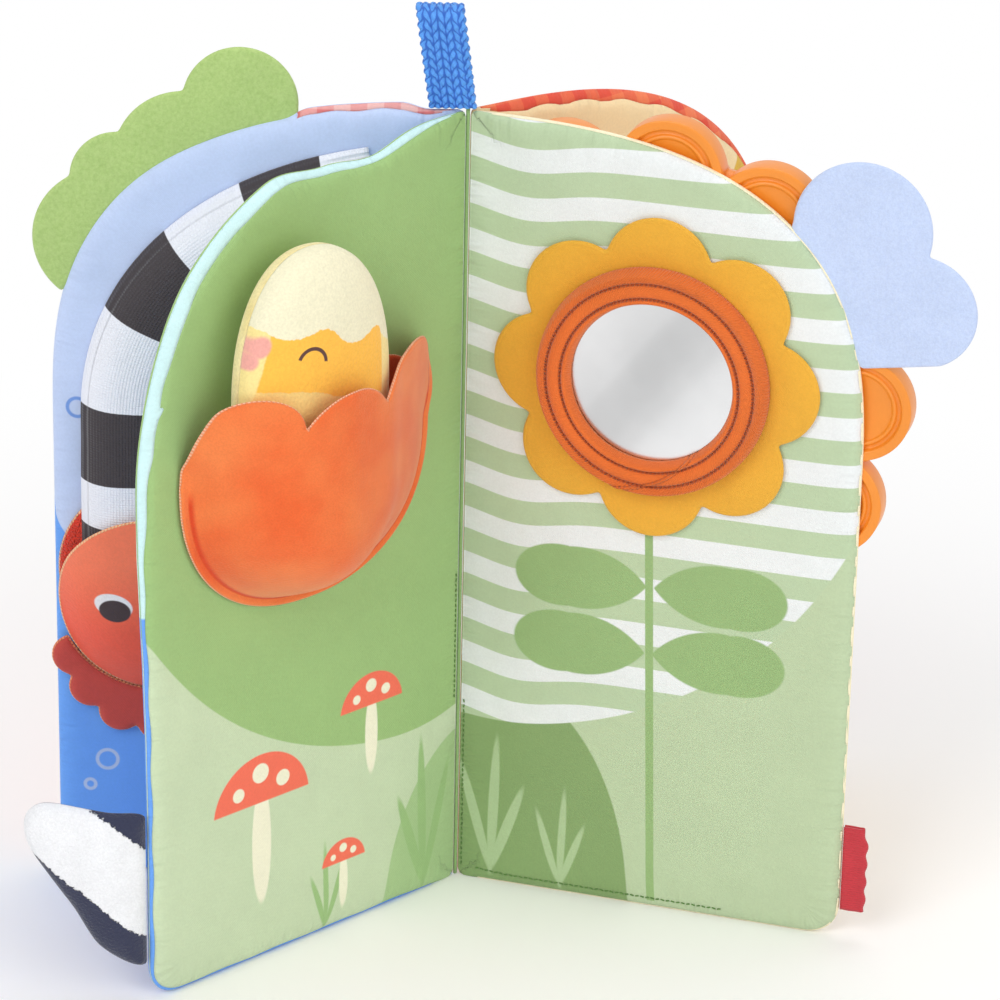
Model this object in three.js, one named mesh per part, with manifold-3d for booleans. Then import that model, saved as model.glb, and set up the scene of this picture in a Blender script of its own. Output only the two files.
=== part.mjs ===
import * as THREE from 'three';
import { mergeVertices } from 'three/addons/utils/BufferGeometryUtils.js';
import Module from 'manifold-3d';

// A cloth book of four padded leaves that turn about one upright spine seam.
// Millimetres, +Z up, origin at the foot of the spine, the reader on the -Y side.
// Each leaf is drawn lying in its own plane: x runs out from the spine, z runs up,
// and y is the height above the leaf's middle. The leaf's group then turns it about the spine.

// Leaf size
const spineHeight = 230;
const leafWidth = 113;
const shoulderHeight = 140;
const archPower = 2.76;
const footRadius = 9;

// Leaf make-up
const leafLoft = 7;
const clothThickness = 0.5;
const seamGap = 0.3;
const filmThickness = 0.3;
const edgeRun = 12;
const spineRun = 26;
const spineRadius = 3.2;

// Azimuth of each leaf as it stands, in degrees anticlockwise from +X
const leftCoverTurn = 180;
const leftPageTurn = 223.6;
const rightPageTurn = -17.1;
const rightCoverTurn = 39.4;

// Hanging loop
const webbingWidth = 13;
const webbingThickness = 1.6;
const loopHeight = 29;
const loopGap = 5.8;
const loopLean = 8;
const loopOffset = 4;
const loopRootHeight = 4;

// Felt tabs sewn in the arch
const feltThickness = 1.6;
const cloudReach = 34.4;
const bushReach = 21.5;

// Tulip pocket on the left page
const tulipWidth = 88;
const tulipHeight = 71.5;
const tulipFoot = 106;
const tulipMargin = 17;
const tulipDepth = 27;
const tulipCrown = 53;
const velourThickness = 1.8;
const pocketBackThickness = 1.5;

// Plush chick in the pocket
const chickWidth = 50.4;
const chickDepth = 22;
const chickCrownHeight = 40.5;
const chickFootHeight = 50;
const chickSideOffset = 9.2;
const chickLift = 16;
const plushThickness = 1.2;

// Stuffed flipper on the left page's outer edge
const flipperReach = 36;
const flipperHeight = 49;
const flipperFoot = 10;
const flipperDepth = 10;
const flipperTurn = 38.6;

// Striped band and fish pocket on the left cover
const bandWidth = 26;
const bandLoft = 9;
const bandReach = 92;
const bandRise = 63;
const bandStart = 40;
const bandTuck = 12;
const bandEdge = 1.2;
const fishRadius = 28;
const fishHeight = 88;
const fishDepth = 11.5;
const fishThickness = 1.2;
const fishBackRise = 7;
const fishMargin = 1;
const finLobeRadius = 6.5;
const finLobeCount = 7;
const finFirstAngle = -36;
const finLobePitch = 18;
const finOffset = 4;
const finReach = 33;
const finThickness = 3;
const finTop = 76;

// Flower and mirror on the right page
const flowerMargin = 9.5;
const flowerRadius = 46;
const petalRadius = 15;
const petalCount = 8;
const petalThickness = 1.6;
const flowerHeight = 161.5;
const mirrorSightRadius = 22.5;
const mirrorSeat = 3;
const mirrorThickness = 1.5;
const ringWidth = 10;
const ringHeight = 5.6;

// Moulded teether behind the right page
const teetherCentreU = 50;
const teetherCentreV = 158;
const teetherRadius = 60.3;
const toothRadius = 15;
const toothThickness = 7;
const toothRimWidth = 3.2;
const toothDish = 1.5;
const toothCount = 8;
const toothPitch = 28;
const firstToothAngle = 112.5;
const flangeWidth = 12;
const flangeThickness = 1.8;

// Plain side tab
const sideTabHeight = 26;
const sideTabFoot = 8.5;
const sideTabReach = 7;
const sideTabThickness = 1.8;

// Lobes of the felt tabs: shares of the way up the arch, and of the tab's reach
const cloudLobeShares = [
  { start: [0.143, 0], peak: [0.141, 0.32], end: [0.14, 0.63] },
  { start: [0.14, 0.63], peak: [0.208, 1], end: [0.302, 0.785] },
  { start: [0.302, 0.785], peak: [0.458, 0.85], end: [0.472, 0] },
];
const bushLobeShares = [
  { start: [0.18, 0], peak: [0.291, 0.65], end: [0.395, 0.59] },
  { start: [0.395, 0.59], peak: [0.452, 0.74], end: [0.516, 0.586] },
  { start: [0.516, 0.586], peak: [0.578, 0.74], end: [0.649, 0.67] },
  { start: [0.649, 0.67], peak: [0.753, 1], end: [0.815, 0] },
];
// Tulip petals as shares of the pocket's half width and height, from the spine side outwards
const tulipPetalShares = [
  { start: [-1, 0.586], peak: [-0.43, 1], end: [-0.136, 0.88] },
  { start: [-0.136, 0.88], peak: [0.21, 0.986], end: [0.522, 0.876] },
  { start: [0.522, 0.876], peak: [0.76, 0.995], end: [0.916, 0.906] },
  { start: [0.916, 0.906], peak: [0.975, 0.752], end: [1, 0.586] },
];
const tulipBackShares = [
  { start: [-0.94, 0.56], peak: [-0.66, 0.91], end: [-0.3, 0.78] },
  { start: [-0.3, 0.78], peak: [0.1, 0.84], end: [0.94, 0.56] },
];
const tulipCentreShare = 0.2;
const tulipBackShare = 0.94;
// Flipper outline as shares of its reach and height, up its lower edge and back along its upper one
const flipperShares = [
  [0, 0.08], [0.12, 0.02], [0.3, 0.06], [0.56, 0.32], [0.84, 0.62], [1, 0.84],
  [0.9, 1], [0.72, 0.98], [0.34, 0.93], [0, 0.9],
];
const flipperCentreShares = [0.38, 0.58];
// Cross stations of the striped band as shares of its half width
const bandStationShares = [-1, -0.86, -0.5, 0, 0.5, 0.86, 1];
// A filling's rim lies this share of the way in from the seam
const fillingShare = 0.2;

// Roundness of the sections: a higher power is boxier
const stuffedPower = 2.2;
const fishPower = 3;
const tulipPower = 4;
const tulipLeanPower = 0.42;
const bandArchPower = 2.2;
const bandPower = 2.5;
const ringPower = 0.7;
const bowlPower = 0.9;
const chickPower = 2.2;

// Ring steps from a rim to its centre, and points to a curve
const leafSteps = [0, 0.15, 0.45, 1];
const leafInnerSteps = [0, 0.45, 1];
const paddingSteps = leafInnerSteps.slice(1);
const stuffedSteps = [0, 0.05, 0.14, 0.3, 0.55];
const stuffedInnerSteps = [0, 0.07, 0.2, 0.45];
const domeSteps = [0, 0.12, 0.3, 0.6];
const flatSteps = [0, 0.12, 0.35];
const flowerSteps = [0, 0.1, 0.25, 0.42];
const archPoints = 12;
const sidePoints = 5;
const cornerPoints = 4;
const lobePoints = 7;
const bowlPoints = 16;
const flipperPoints = 24;
const chickPoints = 26;
const petalPoints = 8;
const fishPoints = 36;
const finLobePoints = 20;
const bandArchRows = 16;
const bandSideRows = 7;
const bandTaperRows = 4;
const spinePoints = 20;
const loopPoints = 7;
const mirrorPoints = 40;
const ringPoints = 36;
const ringSectionPoints = 6;
const toothPoints = 16;
const flangePoints = 28;
const foldPoints = 6;
const rayTolerance = 1e-6;
const turnStep = 0.02;

const halfSeam = seamGap / 2;
const seamHalf = halfSeam + clothThickness;
const leafRise = leafLoft / 2 - seamHalf;
const leafInner = spineRadius + seamGap;
const leafCentre = new THREE.Vector2(leafWidth / 2, spineHeight / 2);
const leafArch = { reach: leafWidth, rise: spineHeight - shoulderHeight, power: archPower };
const bandArch = { reach: bandReach, rise: bandRise, power: bandArchPower };
const quarterTurn = Math.PI / 2;

const wasm = await Module();
wasm.setup();

const book = new THREE.Group();

// Basic builders

function finish(positions, triangles) {
  const geometry = new THREE.BufferGeometry();
  geometry.setAttribute('position', new THREE.Float32BufferAttribute(positions, 3));
  geometry.setIndex(triangles);
  geometry.computeVertexNormals();
  return geometry;
}

// A closed pad over an anticlockwise rim of (u, v) points. Each of its two faces steps in rings
// from the rim to the centre; front and back give the heights, and the front is the higher one.
function pad({ rim, centre, share = (point, step) => step, frontSteps, backSteps, front, back }) {
  const positions = [];
  const triangles = [];
  const count = rim.length;

  function addFace(steps, height, facesFront) {
    const start = positions.length / 3;
    for (const step of steps) {
      for (const point of rim) {
        const place = point.clone().lerp(centre, share(point, step));
        positions.push(place.x, height(place, step), place.y);
      }
    }
    positions.push(centre.x, height(centre, 1), centre.y);
    const tip = start + steps.length * count;
    const turn = (a, b, c) => triangles.push(...(facesFront ? [a, c, b] : [a, b, c]));
    for (let ring = 0; ring < steps.length; ring += 1) {
      for (let i = 0; i < count; i += 1) {
        const next = (i + 1) % count;
        const a = start + ring * count + i;
        const b = start + ring * count + next;
        if (ring === steps.length - 1) {
          turn(a, b, tip);
        } else {
          turn(a, b, b + count);
          turn(a, b + count, a + count);
        }
      }
    }
    return start;
  }

  const frontStart = addFace(frontSteps, front, true);
  const backStart = addFace(backSteps, back, false);
  for (let i = 0; i < count; i += 1) {
    const next = (i + 1) % count;
    triangles.push(backStart + i, frontStart + i, frontStart + next);
    triangles.push(backStart + i, frontStart + next, backStart + next);
  }
  return finish(positions, triangles);
}

// A closed strip from rows of front and back points, each row running across the strip.
function strip(frontRows, backRows) {
  const rows = frontRows.length;
  const columns = frontRows[0].length;
  const positions = [];
  const triangles = [];
  for (const grid of [frontRows, backRows]) {
    grid.flat().forEach((point) => positions.push(point.x, point.y, point.z));
  }
  const quad = (a, b, c, d) => triangles.push(a, b, c, a, c, d);
  const frontAt = (row, column) => row * columns + column;
  const backAt = (row, column) => rows * columns + frontAt(row, column);
  for (let r = 0; r < rows - 1; r += 1) {
    for (let c = 0; c < columns - 1; c += 1) {
      quad(frontAt(r, c), frontAt(r, c + 1), frontAt(r + 1, c + 1), frontAt(r + 1, c));
      quad(backAt(r, c), backAt(r + 1, c), backAt(r + 1, c + 1), backAt(r, c + 1));
    }
    quad(frontAt(r, 0), frontAt(r + 1, 0), backAt(r + 1, 0), backAt(r, 0));
    const last = columns - 1;
    quad(frontAt(r, last), backAt(r, last), backAt(r + 1, last), frontAt(r + 1, last));
  }
  for (let c = 0; c < columns - 1; c += 1) {
    quad(frontAt(0, c), backAt(0, c), backAt(0, c + 1), frontAt(0, c + 1));
    const last = rows - 1;
    quad(frontAt(last, c), frontAt(last, c + 1), backAt(last, c + 1), backAt(last, c));
  }
  return finish(positions, triangles);
}

function plate(outline, thickness, holes = []) {
  const shape = new THREE.Shape(outline);
  shape.holes = holes.map((hole) => new THREE.Path(hole));
  const geometry = new THREE.ExtrudeGeometry(shape, { depth: thickness, bevelEnabled: false });
  geometry.rotateX(quarterTurn);
  geometry.translate(0, thickness, 0);
  return geometry;
}

function disc(radius, thickness, u, v, segments) {
  const geometry = new THREE.CylinderGeometry(radius, radius, thickness, segments);
  geometry.translate(u, thickness / 2, v);
  return geometry;
}

function toSolid(geometry) {
  const bare = geometry.clone();
  bare.deleteAttribute('normal');
  bare.deleteAttribute('uv');
  const merged = mergeVertices(bare);
  return new wasm.Manifold(new wasm.Mesh({
    numProp: 3,
    vertProperties: Float32Array.from(merged.attributes.position.array),
    triVerts: Uint32Array.from(merged.index.array),
  }));
}

function fromSolid(solid) {
  const mesh = solid.getMesh();
  return finish(Array.from(mesh.vertProperties), Array.from(mesh.triVerts));
}

function joined(geometries) {
  return geometries.map(toSolid).reduce((sum, solid) => sum.add(solid));
}

function addPiece(group, name, geometry, color, roughness = 0.9, metalness = 0) {
  const material = new THREE.MeshStandardMaterial({ color, roughness, metalness });
  const mesh = new THREE.Mesh(geometry, material);
  mesh.name = name;
  group.add(mesh);
  return mesh;
}

// Points from start to end on the circle through start, peak and end, without the end itself.
function arcThrough(start, peak, end, points) {
  const chordA = peak.clone().sub(start);
  const chordB = end.clone().sub(start);
  const cross = 2 * chordA.cross(chordB);
  const centre = new THREE.Vector2(
    (chordB.y * chordA.lengthSq() - chordA.y * chordB.lengthSq()) / cross,
    (chordA.x * chordB.lengthSq() - chordB.x * chordA.lengthSq()) / cross,
  ).add(start);
  const angleOf = (point) => Math.atan2(point.y - centre.y, point.x - centre.x);
  const radius = start.distanceTo(centre);
  const fullTurn = 2 * Math.PI;
  const first = angleOf(start);
  const way = cross > 0 ? 1 : -1;
  const sweep = ((way * (angleOf(end) - first)) % fullTurn + fullTurn) % fullTurn;
  return Array.from({ length: points }, (_, i) => {
    const angle = first + (way * sweep * i) / points;
    return new THREE.Vector2(
      centre.x + radius * Math.cos(angle),
      centre.y + radius * Math.sin(angle),
    );
  });
}

// Leaf outline

function archOver({ reach, rise, power }, turn) {
  return new THREE.Vector2(
    reach * Math.cos(turn) ** (2 / power),
    shoulderHeight + rise * Math.sin(turn) ** (2 / power),
  );
}

// The turn at which an arch comes to a given distance from the spine.
function turnAt({ reach, power }, distance) {
  return Math.acos((distance / reach) ** (power / 2));
}

function archPoint(turn) {
  return archOver(leafArch, turn);
}

// A place beside the arch: a share of the way up it, and a distance out from its seam.
function archPlace(shareUp, out) {
  const point = archPoint(shareUp * quarterTurn);
  const rise = spineHeight - shoulderHeight;
  const across = (point.x / leafWidth) ** (archPower - 1) / leafWidth;
  const up = ((point.y - shoulderHeight) / rise) ** (archPower - 1) / rise;
  return point.add(new THREE.Vector2(across, up).setLength(out));
}

// The leaf's rim, anticlockwise from the foot of the spine. Its last stretch is the spine side.
function leafRim() {
  const corner = new THREE.Vector2(leafWidth - footRadius, footRadius);
  const points = [];
  for (let i = 0; i < sidePoints; i += 1) {
    points.push(new THREE.Vector2(leafInner + ((corner.x - leafInner) * i) / sidePoints, 0));
  }
  for (let i = 0; i < cornerPoints; i += 1) {
    const turn = -quarterTurn + (quarterTurn * i) / cornerPoints;
    const place = new THREE.Vector2(Math.cos(turn), Math.sin(turn)).multiplyScalar(footRadius);
    points.push(place.add(corner));
  }
  for (let i = 0; i < sidePoints; i += 1) {
    const height = corner.y + ((shoulderHeight - corner.y) * i) / sidePoints;
    points.push(new THREE.Vector2(leafWidth, height));
  }
  const lastTurn = turnAt(leafArch, leafInner);
  for (let i = 0; i < archPoints; i += 1) {
    points.push(archPoint((lastTurn * i) / archPoints));
  }
  const top = archPoint(lastTurn);
  for (let i = 0; i < sidePoints; i += 1) {
    points.push(new THREE.Vector2(leafInner, top.y * (1 - i / sidePoints)));
  }
  return points;
}

const leafOutline = leafRim();

// How far in from a point of the seam the rings of a leaf's face are spread.
function swellRun(point) {
  const nearness = 1 - (point.x - leafInner) / spineRun;
  return edgeRun + (spineRun - edgeRun) * THREE.MathUtils.clamp(nearness, 0, 1);
}

function swell(step) {
  return 1 - (1 - Math.min(step, 1)) ** 2;
}

// The seam point that the ray from the leaf's centre through a place meets. At the centre itself
// every ray will do, so the first rim point stands.
function seamPoint(place) {
  const ray = place.clone().sub(leafCentre);
  let best = leafOutline[0];
  leafOutline.forEach((a, i) => {
    const b = leafOutline[(i + 1) % leafOutline.length];
    const edge = b.clone().sub(a);
    const gap = a.clone().sub(leafCentre);
    const cross = ray.cross(edge);
    const along = gap.cross(edge) / cross;
    const across = gap.cross(ray) / cross;
    if (along > 0 && Math.abs(across - 0.5) < 0.5 + rayTolerance) {
      best = a.clone().addScaledVector(edge, across);
    }
  });
  return best;
}

// Height of a leaf's outer face above its middle plane. It swells quickly from the outer seam
// and slowly from the spine, so that two leaves can close on each other like a wedge.
function leafHeight(place) {
  const seam = seamPoint(place);
  const depth = Math.max(seam.distanceTo(leafCentre) - place.distanceTo(leafCentre), 0);
  const fromSpine = Math.max(place.x - leafInner, 0);
  return seamHalf + leafRise * Math.min(swell(depth / edgeRun), swell(fromSpine / spineRun));
}

// Leaves

function leafShare(point, step) {
  return (step * swellRun(point)) / point.distanceTo(leafCentre);
}

function leafPanel(side) {
  const outer = (place) => side * leafHeight(place);
  const inner = (place) => side * (leafHeight(place) - clothThickness);
  const facesUp = side > 0;
  return pad({
    rim: leafOutline,
    centre: leafCentre,
    share: leafShare,
    frontSteps: facesUp ? leafSteps : leafInnerSteps,
    backSteps: facesUp ? leafInnerSteps : leafSteps,
    front: facesUp ? outer : inner,
    back: facesUp ? inner : outer,
  });
}

// A layer inside a leaf: it ends short of the seam, and its faces keep clear of the cloth.
function leafLayer(front, back) {
  const room = (place) => leafHeight(place) - clothThickness - seamGap;
  return pad({
    rim: leafOutline,
    centre: leafCentre,
    share: leafShare,
    frontSteps: paddingSteps,
    backSteps: paddingSteps,
    front: (place) => front(room(place)),
    back: (place) => back(room(place)),
  });
}

function addLeaf(name, turn, frontName, frontColor, backName, backColor) {
  const leaf = new THREE.Group();
  leaf.rotation.z = THREE.MathUtils.degToRad(turn);
  book.add(leaf);
  addPiece(leaf, `${name}_${frontName}_panel`, leafPanel(1), frontColor);
  addPiece(leaf, `${name}_${backName}_panel`, leafPanel(-1), backColor);
  const filmTop = (room) => filmThickness - room;
  const batting = leafLayer((room) => room, (room) => filmTop(room) + seamGap);
  addPiece(leaf, `${name}_batting`, batting, 0xf4f4f0, 1);
  const film = leafLayer(filmTop, (room) => -room);
  addPiece(leaf, `${name}_crinkle_film`, film, 0xdfe6ea, 0.3);
  return leaf;
}

// Felt tab whose lobes stand out from the arch and whose root follows the seam.
function feltTab(lobeShares, reach) {
  const place = ([shareUp, shareOut]) => archPlace(shareUp, seamGap + reach * shareOut);
  const outline = [];
  for (const lobe of lobeShares) {
    outline.push(...arcThrough(place(lobe.start), place(lobe.peak), place(lobe.end), lobePoints));
  }
  const first = lobeShares[0].start[0];
  const last = lobeShares[lobeShares.length - 1].end[0];
  for (let i = 0; i < archPoints; i += 1) {
    outline.push(archPlace(last + ((first - last) * i) / archPoints, seamGap));
  }
  const geometry = plate(outline, feltThickness);
  geometry.translate(0, -feltThickness / 2, 0);
  return geometry;
}

// Stuffed pieces: two sewn halves that swell from a seam, round one filling

function stuffedRise(step) {
  const left = 1 - THREE.MathUtils.clamp(step, 0, 1);
  return (1 - left ** stuffedPower) ** (1 / stuffedPower);
}

function stuffedHalf({ rim, centre, depth, cloth, side }) {
  const rise = depth / 2 - cloth - halfSeam;
  const firstInner = stuffedInnerSteps[1];
  const innerStep = (step) => (step - firstInner) / (1 - firstInner);
  const outer = (place, step) => side * (halfSeam + cloth + rise * stuffedRise(step));
  const inner = (place, step) => side * (halfSeam + rise * stuffedRise(innerStep(step)));
  const facesUp = side > 0;
  return pad({
    rim,
    centre,
    frontSteps: facesUp ? stuffedSteps : stuffedInnerSteps,
    backSteps: facesUp ? stuffedInnerSteps : stuffedSteps,
    front: facesUp ? outer : inner,
    back: facesUp ? inner : outer,
  });
}

function stuffing({ rim, centre, depth, cloth }) {
  const rise = depth / 2 - cloth - halfSeam;
  const clear = 2 * seamGap;
  const height = (place, step) => {
    const shareIn = fillingShare + (1 - fillingShare) * step;
    return halfSeam + rise * stuffedRise(shareIn - stuffedInnerSteps[1]) - clear;
  };
  return pad({
    rim: rim.map((point) => point.clone().lerp(centre, fillingShare)),
    centre,
    frontSteps: stuffedInnerSteps,
    backSteps: stuffedInnerSteps,
    front: height,
    back: (place, step) => -height(place, step),
  });
}

// A pocket's inner face: it rises from its sewn edge, a superellipse, to an open mouth.
function domeHeight({ centreU, mouthV, halfWidth, drop, roundness, power, depth, base }) {
  return (place) => {
    const across = Math.abs(place.x - centreU) / halfWidth;
    const down = Math.max(mouthV - place.y, 0) / drop;
    const spread = (across ** roundness + down ** roundness) ** (1 / roundness);
    return base(place) + depth * (1 - Math.min(spread, 1) ** power);
  };
}

// Spine and its loop

function addSpine() {
  const core = new THREE.CylinderGeometry(spineRadius, spineRadius, spineHeight, spinePoints);
  core.rotateX(quarterTurn);
  core.translate(0, 0, spineHeight / 2);
  addPiece(book, 'spine_seam', core, 0x9dbf78);

  const outerHalf = loopGap / 2 + webbingThickness;
  const bendHeight = loopHeight - outerHalf;
  const side = (half, root, foot) => {
    const start = new THREE.Vector2(root, foot);
    const bend = new THREE.Vector2(half, foot + (bendHeight - foot) / 3);
    const end = new THREE.Vector2(half, bendHeight);
    return new THREE.QuadraticBezierCurve(start, bend, end).getPoints(loopPoints);
  };
  const crown = (half) => Array.from({ length: loopPoints }, (_, i) => {
    const turn = (Math.PI * (i + 1)) / (loopPoints + 1);
    return new THREE.Vector2(half * Math.cos(turn), bendHeight + half * Math.sin(turn));
  });
  const mirrored = (points) => points.map((point) => new THREE.Vector2(-point.x, point.y)).reverse();
  const outerSide = side(outerHalf, webbingThickness, 0);
  const innerSide = side(loopGap / 2, halfSeam, loopRootHeight);
  const outline = [...outerSide, ...crown(outerHalf), ...mirrored(outerSide)];
  const hole = [...innerSide, ...crown(loopGap / 2), ...mirrored(innerSide)];
  const loop = plate(outline, webbingWidth, [hole]);
  loop.translate(0, -webbingWidth / 2, 0);
  loop.rotateZ(quarterTurn);
  const lean = Math.tan(THREE.MathUtils.degToRad(loopLean));
  loop.applyMatrix4(new THREE.Matrix4().makeShear(0, 0, 0, 0, -lean, 0));
  const piece = addPiece(book, 'hanging_loop', loop, 0x4f93e6, 0.85);
  piece.position.set(-loopOffset, 0, spineHeight + seamGap);
}

// Left cover

function addLeftCover() {
  const leaf = addLeaf('left_cover', leftCoverTurn, 'sea', 0x9fc0ec, 'gingham', 0xe8806c);
  addPiece(leaf, 'bush_tab', feltTab(bushLobeShares, bushReach), 0xa5c86e);

  const fishU = leafWidth - fishMargin - fishRadius;
  const backBase = (place) => leafHeight(place) + seamGap;
  const backCentre = new THREE.Vector2(fishU, fishHeight + fishBackRise);
  const roundRim = (centre) => Array.from({ length: fishPoints }, (_, i) => {
    const turn = (2 * Math.PI * i) / fishPoints;
    return new THREE.Vector2(Math.cos(turn), Math.sin(turn)).multiplyScalar(fishRadius).add(centre);
  });
  const fishBack = pad({
    rim: roundRim(backCentre),
    centre: backCentre,
    frontSteps: flatSteps,
    backSteps: flatSteps,
    front: (place) => backBase(place) + pocketBackThickness,
    back: backBase,
  });
  addPiece(leaf, 'fish_pocket_back', fishBack, 0xe04a35);

  const onBack = (place) => backBase(place) + pocketBackThickness + seamGap;
  const faceCentre = new THREE.Vector2(fishU, fishHeight);
  const inside = domeHeight({
    centreU: fishU,
    mouthV: fishHeight + fishBackRise,
    halfWidth: fishRadius,
    drop: fishRadius + fishBackRise,
    roundness: 2,
    power: fishPower,
    depth: fishDepth,
    base: onBack,
  });
  const face = pad({
    rim: roundRim(faceCentre),
    centre: faceCentre,
    frontSteps: domeSteps,
    backSteps: domeSteps,
    front: (place) => inside(place) + fishThickness,
    back: inside,
  });
  addPiece(leaf, 'fish_pocket_face', face, 0xeb6950);

  const finCentre = new THREE.Vector2(fishU - finOffset, fishHeight - finOffset);
  const lobes = Array.from({ length: finLobeCount }, (_, i) => {
    const turn = THREE.MathUtils.degToRad(finFirstAngle - finLobePitch * i);
    const u = finCentre.x + finReach * Math.cos(turn);
    const v = finCentre.y + finReach * Math.sin(turn);
    return disc(finLobeRadius, finThickness, u, v, finLobePoints);
  });
  const web = disc(finReach, finThickness, finCentre.x, finCentre.y, fishPoints);
  const above = new THREE.BoxGeometry(leafWidth, leafWidth, leafWidth);
  above.translate(finCentre.x, 0, finTop + leafWidth / 2);
  const room = (centre) => {
    const cutter = disc(fishRadius + seamGap, leafWidth, centre.x, centre.y, fishPoints);
    cutter.translate(0, -leafWidth / 2, 0);
    return toSolid(cutter);
  };
  const fin = joined([...lobes, web])
    .subtract(toSolid(above))
    .subtract(room(faceCentre))
    .subtract(room(backCentre));
  const finGeometry = fromSolid(fin);
  finGeometry.translate(0, leafLoft / 2 + seamGap, 0);
  addPiece(leaf, 'fish_fin', finGeometry, 0xcf4e44);

  addPiece(leaf, 'striped_band', stripedBand(backBase, fishHeight + fishBackRise), 0xd9dde6);
}

// A flat stuffed tube that follows the arch and tucks its foot into the fish pocket.
function stripedBand(base, mouthV) {
  const rows = [];
  const addRow = (point, outward) => rows.push({ point, outward });
  const firstTurn = turnAt(bandArch, bandStart);
  const middle = (turn) => archOver(bandArch, turn);
  for (let i = 0; i < bandArchRows; i += 1) {
    const turn = firstTurn * (1 - i / bandArchRows);
    const ahead = middle(Math.max(turn - turnStep, 0));
    const behind = middle(turn + turnStep);
    const along = ahead.sub(behind).normalize();
    addRow(middle(turn), new THREE.Vector2(-along.y, along.x));
  }
  const foot = mouthV + fishRadius - 2 * bandTuck;
  for (let i = 0; i <= bandSideRows; i += 1) {
    const height = shoulderHeight + ((foot - shoulderHeight) * i) / bandSideRows;
    addRow(new THREE.Vector2(bandReach, height), new THREE.Vector2(1, 0));
  }
  const last = rows.length - 1;
  const lift = (place) => {
    const nearFish = (mouthV + fishRadius + bandTuck - place.y) / bandTuck;
    const tuck = THREE.MathUtils.smoothstep(nearFish, 0, 1);
    return base(place) + (pocketBackThickness + seamGap) * tuck;
  };
  const endTaper = (row) => {
    const fromEnd = Math.min(row, last - row);
    return Math.min(1, (fromEnd + 1) / bandTaperRows);
  };
  const grid = (height) => rows.map(({ point, outward }, row) => bandStationShares.map((side) => {
    const place = point.clone().addScaledVector(outward, (side * bandWidth) / 2);
    return new THREE.Vector3(place.x, height(place, side, row), place.y);
  }));
  const back = grid((place) => lift(place));
  const front = grid((place, side, row) => {
    const rise = (bandLoft - bandEdge) * (1 - Math.abs(side) ** bandPower) * endTaper(row);
    return lift(place) + bandEdge + rise;
  });
  return strip(front, back);
}

// Left page

// A petalled pocket: a round bowl from its spine side down and out, then the petals back again.
function petalOutline({ centreU, foot, halfWidth, height, petals }) {
  const place = ([across, up]) => new THREE.Vector2(centreU + halfWidth * across, foot + height * up);
  const [firstAcross, firstUp] = petals[0].start;
  const lastUp = petals[petals.length - 1].end[1];
  const outline = [];
  for (let i = 0; i < bowlPoints; i += 1) {
    const turn = (Math.PI * i) / bowlPoints;
    const round = Math.cos(turn);
    const rimUp = firstUp + ((lastUp - firstUp) * (1 - round)) / 2;
    const across = firstAcross * Math.sign(round) * Math.abs(round) ** bowlPower;
    outline.push(place([across, rimUp * (1 - Math.sin(turn) ** bowlPower)]));
  }
  for (const petal of [...petals].reverse()) {
    outline.push(...arcThrough(place(petal.end), place(petal.peak), place(petal.start), lobePoints));
  }
  return outline;
}

function addLeftPage() {
  const leaf = addLeaf('left_page', leftPageTurn, 'garden', 0xb4cd91, 'sea', 0xc8f0f0);
  const tulipU = tulipMargin + tulipWidth / 2;
  const backBase = (place) => leafHeight(place) + seamGap;
  const backOutline = petalOutline({
    centreU: tulipU,
    foot: tulipFoot + (tulipHeight * (1 - tulipBackShare)) / 2,
    halfWidth: (tulipWidth * tulipBackShare) / 2,
    height: tulipHeight * tulipBackShare,
    petals: tulipBackShares,
  });
  const centre = new THREE.Vector2(tulipU, tulipFoot + tulipHeight * tulipCentreShare);
  addPiece(leaf, 'tulip_pocket_back', pad({
    rim: backOutline,
    centre,
    frontSteps: flatSteps,
    backSteps: flatSteps,
    front: (place) => backBase(place) + pocketBackThickness,
    back: backBase,
  }), 0xd95a28);

  const bowlHeight = tulipHeight * tulipPetalShares[0].start[1];
  const bulge = domeHeight({
    centreU: tulipU,
    mouthV: tulipFoot + bowlHeight,
    halfWidth: tulipWidth / 2,
    drop: bowlHeight,
    roundness: 2 / bowlPower,
    power: tulipPower,
    depth: pocketBackThickness + seamGap + tulipDepth,
    base: () => 0,
  });
  // The pocket leans from its spine side out to its crown, over the chick.
  const inside = (place) => {
    const lean = THREE.MathUtils.clamp((place.x - tulipMargin) / tulipCrown, 0, 1);
    return backBase(place) + bulge(place) * lean ** tulipLeanPower;
  };
  addPiece(leaf, 'tulip_pocket_front', pad({
    rim: petalOutline({
      centreU: tulipU,
      foot: tulipFoot,
      halfWidth: tulipWidth / 2,
      height: tulipHeight,
      petals: tulipPetalShares,
    }),
    centre,
    frontSteps: domeSteps,
    backSteps: domeSteps,
    front: (place) => inside(place) + velourThickness,
    back: inside,
  }), 0xf06e37);

  addFlipper(leaf);
  addChick(leaf, tulipU);
}

function addFlipper(leaf) {
  const turn = THREE.MathUtils.degToRad(flipperTurn);
  const fin = new THREE.Group();
  fin.rotation.z = -turn;
  fin.position.set(leafWidth + seamGap, 0, flipperFoot);
  leaf.add(fin);
  const root = seamHalf * Math.sin(turn);
  const place = ([out, up]) => new THREE.Vector2(root + out * flipperReach, up * flipperHeight);
  const rim = new THREE.SplineCurve(flipperShares.map(place)).getPoints(flipperPoints);
  const centre = place(flipperCentreShares);
  const make = { rim, centre, depth: flipperDepth, cloth: clothThickness };
  addPiece(fin, 'flipper_front', stuffedHalf({ ...make, side: 1 }), 0xeceef2);
  addPiece(fin, 'flipper_back', stuffedHalf({ ...make, side: -1 }), 0x3d4056);
  addPiece(fin, 'flipper_filling', stuffing(make), 0xf6f6f4, 1);
}

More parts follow.
